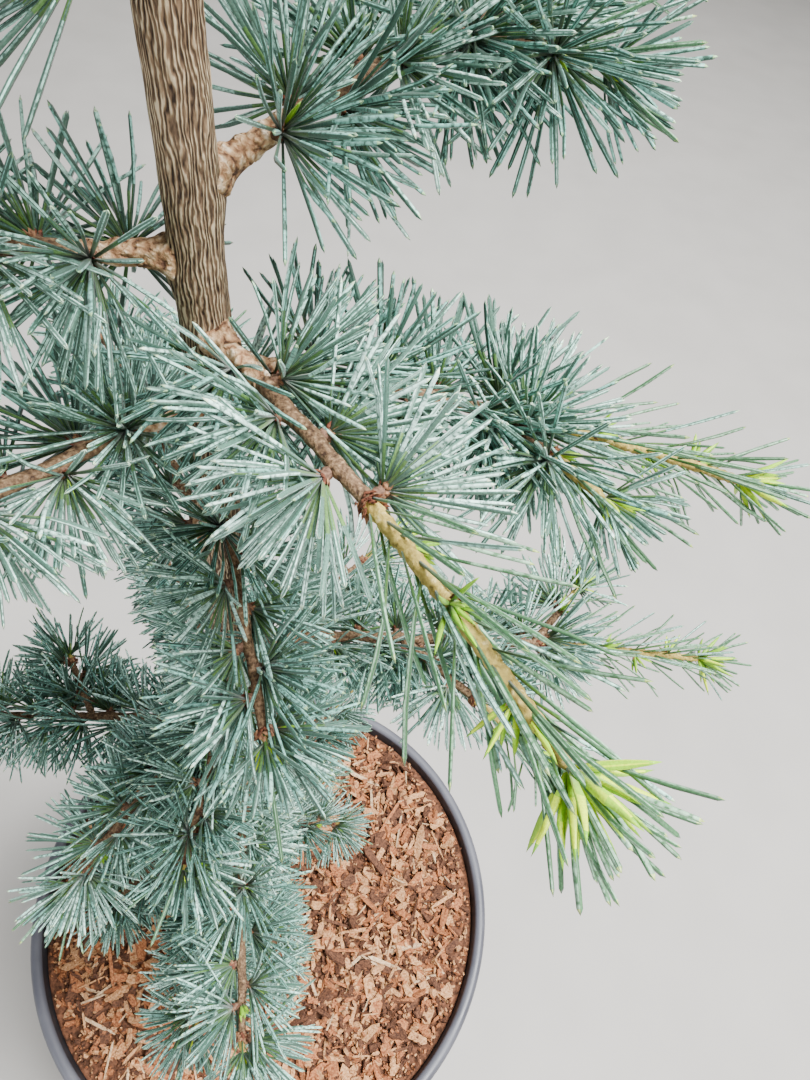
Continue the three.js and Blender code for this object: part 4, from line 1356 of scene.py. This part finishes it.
def medium_surface():
    """Turned body that fills the pot. Its top is raised and sunk by noise of two sizes, which
    fades out at the wall."""
    edge_level = SOIL_LEVEL - SOIL_EDGE_DROP
    floor_level = POT_FLOOR + MEDIUM_FLOOR_GAP
    edge = pot_inner_radius(edge_level) - MEDIUM_GAP
    top = [(r, soil_height(r)) for r in np.linspace(edge, 0, MEDIUM_RINGS)]
    levels = np.linspace(floor_level, edge_level - MEDIUM_SHOULDER, MEDIUM_WALL_RINGS)
    wall = [(pot_inner_radius(z) - MEDIUM_GAP, z) for z in levels]
    outline = [(0, floor_level), (POT_FLOOR_MIDDLE, floor_level), *wall, *top]
    points, corners, sizes, looks = turned(outline, MEDIUM_SIDES)
    radius = np.hypot(points[:, 0], points[:, 1])
    is_top = points[:, 2] > edge_level - MEDIUM_SHOULDER
    fade = np.clip((edge - radius) / MEDIUM_EDGE_FADE, 0, 1) * is_top
    mounds = -MEDIUM_SINK
    for number, (height, size) in enumerate(MEDIUM_MOUNDS):
        mounds = mounds + height * blotches(points * [1, 1, 0], size, MOUND_SEED + number)
    points[:, 2] += fade * mounds
    return points, corners, sizes, looks


def chip_surface(chance, count, lengths, widths, thicknesses, looks_count, pile):
    """Loose bark: flat six-cornered plates, their corners moved by chance, lying at a slant on
    the medium between trunk and wall. A corner is centre + along * x + aside * y + normal * z,
    and small pieces are commoner than large ones."""
    corners = len(CHIP_CORNERS)
    outline = np.stack([np.cos(CHIP_CORNERS), np.sin(CHIP_CORNERS)], -1)[None]
    outline = outline * (1 + CHIP_CORNER_SPREAD * chance.normal(size=(count, corners, 1)))
    size = chance.random((count, 1, 1)) ** CHIP_SIZE_POWER
    length = (lengths[0] + (lengths[1] - lengths[0]) * size) / 2
    width = (widths[0] + (widths[1] - widths[0]) * size * chance.random((count, 1, 1))) / 2
    height = chance.uniform(*thicknesses, (count, 1, 1)) / 2
    slant = CHIP_SLANT * chance.normal(size=(count, 2))
    normal = unit(np.concatenate([slant, np.ones((count, 1))], -1))
    heading = 2 * np.pi * chance.random(count)
    along = np.stack([np.cos(heading), np.sin(heading), 0 * heading], -1)
    along = unit(along - normal * np.sum(along * normal, -1, keepdims=True))
    aside = np.cross(normal, along)
    half_length = length[:, 0, 0]
    outer = pot_inner_radius(SOIL_LEVEL) - CHIP_WALL_GAP - CHIP_OUTLINE_MOST * half_length
    inner = CHIP_TRUNK_GAP + half_length
    radius = np.sqrt(inner**2 + (outer**2 - inner**2) * chance.random(count))
    angle = 2 * np.pi * chance.random(count)
    ground = soil_height(radius) + pile * chance.random(count) ** CHIP_PILE_POWER
    centre = np.stack([radius * np.cos(angle), radius * np.sin(angle), ground], -1)[:, None]
    flat = along[:, None] * outline[..., :1] * length + aside[:, None] * outline[..., 1:] * width
    up = normal[:, None] * height
    bow = CHIP_BOW * chance.normal(size=(count, corners, 1)) * up
    low = centre + CHIP_UNDERSIDE_SHARE * flat - up + bow
    points = np.concatenate([low, centre + flat + up + bow], axis=1)
    quads, _ = ringed_faces(2, corners)
    faces = [*quads, np.arange(corners)[::-1], np.arange(corners) + corners]
    looks = chance.integers(0, looks_count, size=(count, 1))
    return repeated(points, faces, looks)


def arc(centre, radii, first, last, count):
    """Points from the first angle to the last: centre + (radii * cos, radii * sin)."""
    turn = np.radians(np.linspace(first, last, count))
    return np.array(centre) + np.array(radii) * np.stack([np.cos(turn), np.sin(turn)], -1)


def pot_surface():
    """Turned wall with a rolled lip and a rounded foot: the outline runs out along the
    underside, up the outside, over the lip and down the inside to the floor."""
    wall_top = POT_RIM_RADIUS - LIP_WIDTH
    lip_foot = POT_HEIGHT - LIP_HEIGHT
    slope = (wall_top - POT_BASE_RADIUS) / (lip_foot - FOOT_ROUNDING)
    foot_centre = (POT_BASE_RADIUS - FOOT_ROUNDING, FOOT_ROUNDING)
    lip_centre = (POT_RIM_RADIUS - LIP_ROUNDING, POT_HEIGHT - LIP_HEIGHT / 2)
    outer = np.linspace(WALL_START, lip_foot - LIP_GAP, POT_WALL_RINGS)
    inner = np.linspace(POT_HEIGHT - LIP_DROP, INSIDE_START, POT_WALL_RINGS)
    inner_top = pot_inner_radius(POT_HEIGHT - LIP_DROP)
    inner_foot = POT_BASE_RADIUS - POT_WALL
    outline = [
        *UNDERSIDE,
        *arc(foot_centre, (FOOT_ROUNDING, FOOT_ROUNDING), *FOOT_ARC),
        *[(POT_BASE_RADIUS + slope * (z - FOOT_ROUNDING), z) for z in outer],
        *arc(lip_centre, (LIP_ROUNDING, LIP_HEIGHT / 2), *LIP_ARC),
        *[(inner_top + out, POT_HEIGHT + up) for out, up in LIP_INNER_EDGE],
        *[(pot_inner_radius(z), z) for z in inner],
        *[(inner_foot + out, POT_FLOOR + up) for out, up in INSIDE_CORNER],
        (POT_FLOOR_MIDDLE, POT_FLOOR),
        (0, POT_FLOOR),
    ]
    return turned(outline, POT_SIDES)


def drain_holes():
    """Round cutters in a ring, each turned by half a corner to keep clear of the floor's edges."""
    low, high = DRAIN_CUT
    corner = np.linspace(0, 2 * np.pi, DRAIN_SIDES, endpoint=False) + np.pi / DRAIN_SIDES
    ring = DRAIN_RADIUS * np.stack([np.cos(corner), np.sin(corner), 0 * corner], -1)
    holes = []
    for i in range(DRAIN_HOLES):
        centre = DRAIN_RING_RADIUS * heading_vector(360 * (i + 0.5) / DRAIN_HOLES)
        holes.append(tube(np.stack([centre + ring + UP * low, centre + ring + UP * high])))
    return joined(holes)


def add_pot(wall_look, lip_look):
    """The turned pot, cut by round drain holes through its floor. The lip's look, whose paler grey
    is partly dust and partly painted sheen, starts at its lower edge and ends inside the wall."""
    points, corners, sizes, looks = pot_surface()
    starts = np.concatenate([[0], np.cumsum(sizes)[:-1]])
    middle = np.add.reduceat(points[corners], starts) / sizes[:, None]
    on_lip = middle[:, 2] > POT_HEIGHT - LIP_HEIGHT
    on_lip &= np.hypot(middle[:, 0], middle[:, 1]) > POT_RIM_RADIUS - LIP_WIDTH - POT_WALL
    surface = (points, corners, sizes, np.where(on_lip, 1, looks))
    pot = add_piece("pot_shell", surface, [wall_look, lip_look], ["pot"])
    cutter = add_piece("drain_cutter", drain_holes(), [wall_look])
    cut = pot.modifiers.new("drain_holes", "BOOLEAN")
    cut.operation = "DIFFERENCE"
    cut.object = cutter
    cut.solver = "EXACT"
    shape = pot.evaluated_get(bpy.context.evaluated_depsgraph_get())
    mesh = bpy.data.meshes.new_from_object(shape)
    pot.modifiers.clear()
    pot.data = mesh
    bpy.data.objects.remove(cutter)
    return pot


# The plant


def masses_of(branches):
    """Names and twigs of all masses: the branches', the leader's and the single rosettes'."""
    masses = [(f"foliage_{branch['number'] + 1:02d}", twigs_of(branch)) for branch in branches]
    masses.append(("foliage_leader", [leader_twig()]))
    for number, (height, heading) in enumerate(SPURS, 1):
        masses.append((f"spur_{number}", [spur_twig(height, heading)]))
    return masses


def limbs_of(boughs):
    """Two straight stretches (start, end, radius) along each bare bough."""
    limbs = []
    for bough in boughs:
        end = bough["bare"] / curve_length(bough["curve"])
        spots = curve_points(bough["curve"], [0, 0.5 * end, end])
        limbs += [(a, b, bough["radius"]) for a, b in zip(spots[:-1], spots[1:])]
    return limbs


def shared_out(masses, most):
    """Neighbouring masses in groups that hold at most that many needles."""
    groups, held = [[]], 0
    for name, needles in masses:
        size = len(needles["length"])
        if held + size > most:
            groups.append([])
            held = 0
        groups[-1].append((name, needles))
        held += size
    return groups


def with_relief(made):
    """Pairs of a surface and its relief as one surface and the values of its points."""
    relief = np.concatenate([relief for _, relief in made])
    return joined([surface for surface, _ in made]), {"relief": relief}


branches = all_branches()
boughs = [branch for branch in branches if branch["has_bough"]]
limbs = limbs_of(boughs)
masses, growth, wood, spur_surfaces, scales = [], [], [], [], []
for number, (name, twigs) in enumerate(masses_of(branches)):
    chance = np.random.default_rng(NEEDLE_SEED + number)
    own = []
    for twig in twigs:
        needles, new_growth, spurs = needles_of(name, twig, chance)
        own += needles
        growth += new_growth
        wood.append(twig_surface(twig, spurs["head"]))
        spur_surfaces.append(spur_surface(spurs))
        scales += scales_of(twig, spurs, chance)
    own = gathered(own)
    masses.append((name, chosen(own, clear_of_limbs(own, limbs))))

needle_looks = all_needle_looks()
for number, group in enumerate(shared_out(masses, PIECE_NEEDLES), 1):
    surface = needle_surface(gathered([own for _, own in group]), NEEDLE_RINGS, NEEDLE_SWELL)
    names = [name for name, _ in group]
    add_piece(f"needles_{number}", surface, needle_looks, names)

growth = gathered(growth)
growth = chosen(growth, clear_of_limbs(growth, limbs))
surface = needle_surface(growth, LEAF_RINGS, LEAF_SWELL)
add_piece("new_growth", surface, needle_looks)

# Trunk bark: grey brown, braided in strands about a millimetre wide, with pale crests
trunk_bark = bark_look(
    "cedar_bark",
    [(0.22, "#2e2118"), (0.42, "#6e5743"), (0.62, "#92785c"), (0.8, "#d8c29f")],
    grain=0.55,
    roughness=0.9,
    depth=0.5,
    stretch=5,
    pattern=strands_of,
)
# Bark of a branch's foot: tan, in ragged plates that peel. Its darkest tones in creases and
# hollows are partly painted shade, its palest on knobs and crests partly painted highlight
collar_bark = bark_look(
    "flaking_collar_bark",
    [(0.2, "#4e3324"), (0.38, "#97704f"), (0.6, "#c4a078"), (0.85, "#ecd8bc")],
    grain=0.9,
    roughness=0.75,
    depth=0.9,
    pattern=plates_of,
)
# Old twigs: dark brown and rough. Last year's shoots: smooth straw yellow
twig_bark = bark_look(
    "old_twig_bark",
    [(0.2, "#3a281b"), (0.45, "#614a34"), (0.7, "#7e644a"), (0.9, "#a28765")],
    grain=0.7,
    roughness=0.8,
    depth=0.25,
)
shoot_bark = bark_look(
    "last_year_shoot_bark",
    [(0.1, "#6a5826"), (0.4, "#94803c"), (0.7, "#b09a4e"), (0.95, "#d2be80")],
    grain=0.9,
    roughness=0.7,
    depth=0.2,
)
surface, values = trunk_surface(branches)
add_piece("trunk_bark", surface, [trunk_bark], ["trunk"], values)
surface, values = with_relief([bough_surface(bough) for bough in boughs])
names = [f"bough_{bough['number'] + 1:02d}" for bough in boughs]
add_piece("bough_bark", surface, [collar_bark], names, values)
surface, values = with_relief(wood)
add_piece("twigs", surface, [twig_bark, shoot_bark], values=values)

# Bud scales: thin and papery, rust and tan, a little smoother than bark. Short shoots: dull wood
scale_looks = [
    wood_look("bud_scale_rust", "#45241a", "#7a4630", 0.6, 0.7, 0.1),
    wood_look("bud_scale_tan", "#66432f", "#a67a58", 0.6, 0.7, 0.1),
]
spur_wood = wood_look("spur_wood", "#4b3428", "#80614d", 0.5, 0.85, 0.15)
add_piece("spur_shoots", joined(spur_surfaces), [spur_wood])
add_piece("bud_scales", joined(scales), scale_looks, smooth=False)

# The pot and what fills it

add_pot(
    polypropylene_look("polypropylene_black", "#202125", "#3a3b40"),
    # The lip: a paler cool grey, partly dust and partly painted sheen of the sky on its rim
    polypropylene_look("polypropylene_dust_and_painted_sheen", "#4b4c54", "#63646c"),
)
# Composted bark: dark and dull, between the pieces. Pine bark: rust and tan inner faces, dark
# outer ones, and pale splinters of its wood
bed_look = wood_look("composted_bark", "#3e2719", "#7a4f38", 2.5, 0.95, 0.8)
add_piece("composted_bark_bed", medium_surface(), [bed_look], ["growing_medium"])
chip_looks = [
    wood_look("pine_bark_rust", "#7a4429", "#b87a4e", 1.2),
    wood_look("pine_bark_tan", "#98683f", "#d2a276", 1.2),
    wood_look("pine_bark_dark", "#3a241a", "#6e4832", 1.2, 0.9),
    wood_look("pine_wood_pale", "#a88664", "#dcc09a", 1.2, 0.8, 0.3),
]
chance = np.random.default_rng(CHIP_SEED)
chips = joined([chip_surface(chance, *kind) for kind in (CHIPS, SHARDS, SLABS)])
add_piece("bark_chips", chips, chip_looks, smooth=False)
add_piece("bark_crumbs", chip_surface(chance, *CRUMBS), chip_looks, smooth=False)

# Floor, light and camera
FLOOR_HALF = 5.0
CROWN = (0, 0, 0.7)
LOW_CROWN = (0, 0, 0.4)

# Soft boxes: name, place, target, size, watts and colour
SOFT_BOXES = [
    ("top_box", (0.8, 0.0, 2.5), CROWN, 0.9, 195, "#ffffff"),
    ("front_box", (1.5, -1.6, 1.7), CROWN, 1.2, 30, "#fffaf2"),
    ("left_box", (-1.5, -1.9, 1.2), LOW_CROWN, 1.0, 36, "#f4f8ff"),
    ("back_box", (0.2, 2.5, 1.9), CROWN, 1.4, 31, "#ffffff"),
]
SKY_COLOUR = "#e9edf0"
SKY_STRENGTH = 0.18

# The photograph's camera: its place, how far it is tilted up from straight down, how far it is
# rolled, and its focal length in pixels of the photograph
CAMERA_PLACE = (40.98, -124.8, 856.0)
CAMERA_TILT = 36.6
CAMERA_ROLL = 12.188
PHOTO_HEIGHT = 1080
FOCAL_PIXELS = 810
SENSOR_SIZE = 36
NEAREST_SEEN = 10


def add_floor():
    """A square board under the pot."""
    mesh = bpy.data.meshes.new("floor")
    signs = ((-1, -1), (1, -1), (1, 1), (-1, 1))
    mesh.from_pydata([(x * FLOOR_HALF, y * FLOOR_HALF, 0) for x, y in signs], [], [(0, 1, 2, 3)])
    mesh.materials.append(floor_look())
    floor = bpy.data.objects.new("floor", mesh)
    bpy.context.scene.collection.objects.link(floor)


def add_light(name, place, target, size, watts, code):
    """A square soft box that faces its target: the columns of its matrix are its three axes and
    its place."""
    data = bpy.data.lights.new(name, "AREA")
    data.size = size
    data.energy = watts
    data.color = linear(code)[:3]
    light = bpy.data.objects.new(name, data)
    bpy.context.scene.collection.objects.link(light)
    place = np.array(place, float)
    back = unit(place - np.array(target, float))
    side, lift = across(back)
    rows = [[side[i], lift[i], back[i], place[i]] for i in range(3)]
    light.matrix_world = Matrix([*rows, [0, 0, 0, 1]])


def add_world():
    """An even pale sky."""
    world = bpy.data.worlds.new("studio")
    bpy.context.scene.world = world
    world.use_nodes = True
    background = world.node_tree.nodes["Background"]
    background.inputs["Color"].default_value = linear(SKY_COLOUR)
    background.inputs["Strength"].default_value = SKY_STRENGTH


def add_camera():
    """A camera that looks straight down, tilted about X and then rolled about its own axis."""
    data = bpy.data.cameras.new("camera")
    data.sensor_width = SENSOR_SIZE
    data.lens = SENSOR_SIZE * FOCAL_PIXELS / PHOTO_HEIGHT
    data.clip_start = NEAREST_SEEN * MM
    camera = bpy.data.objects.new("camera", data)
    bpy.context.scene.collection.objects.link(camera)
    tilt = Matrix.Rotation(math.radians(CAMERA_TILT), 4, "X")
    roll = Matrix.Rotation(math.radians(CAMERA_ROLL), 4, "Z")
    camera.matrix_world = Matrix.Translation([part * MM for part in CAMERA_PLACE]) @ tilt @ roll
    bpy.context.scene.camera = camera


add_floor()
for soft_box in SOFT_BOXES:
    add_light(*soft_box)
add_world()
add_camera()
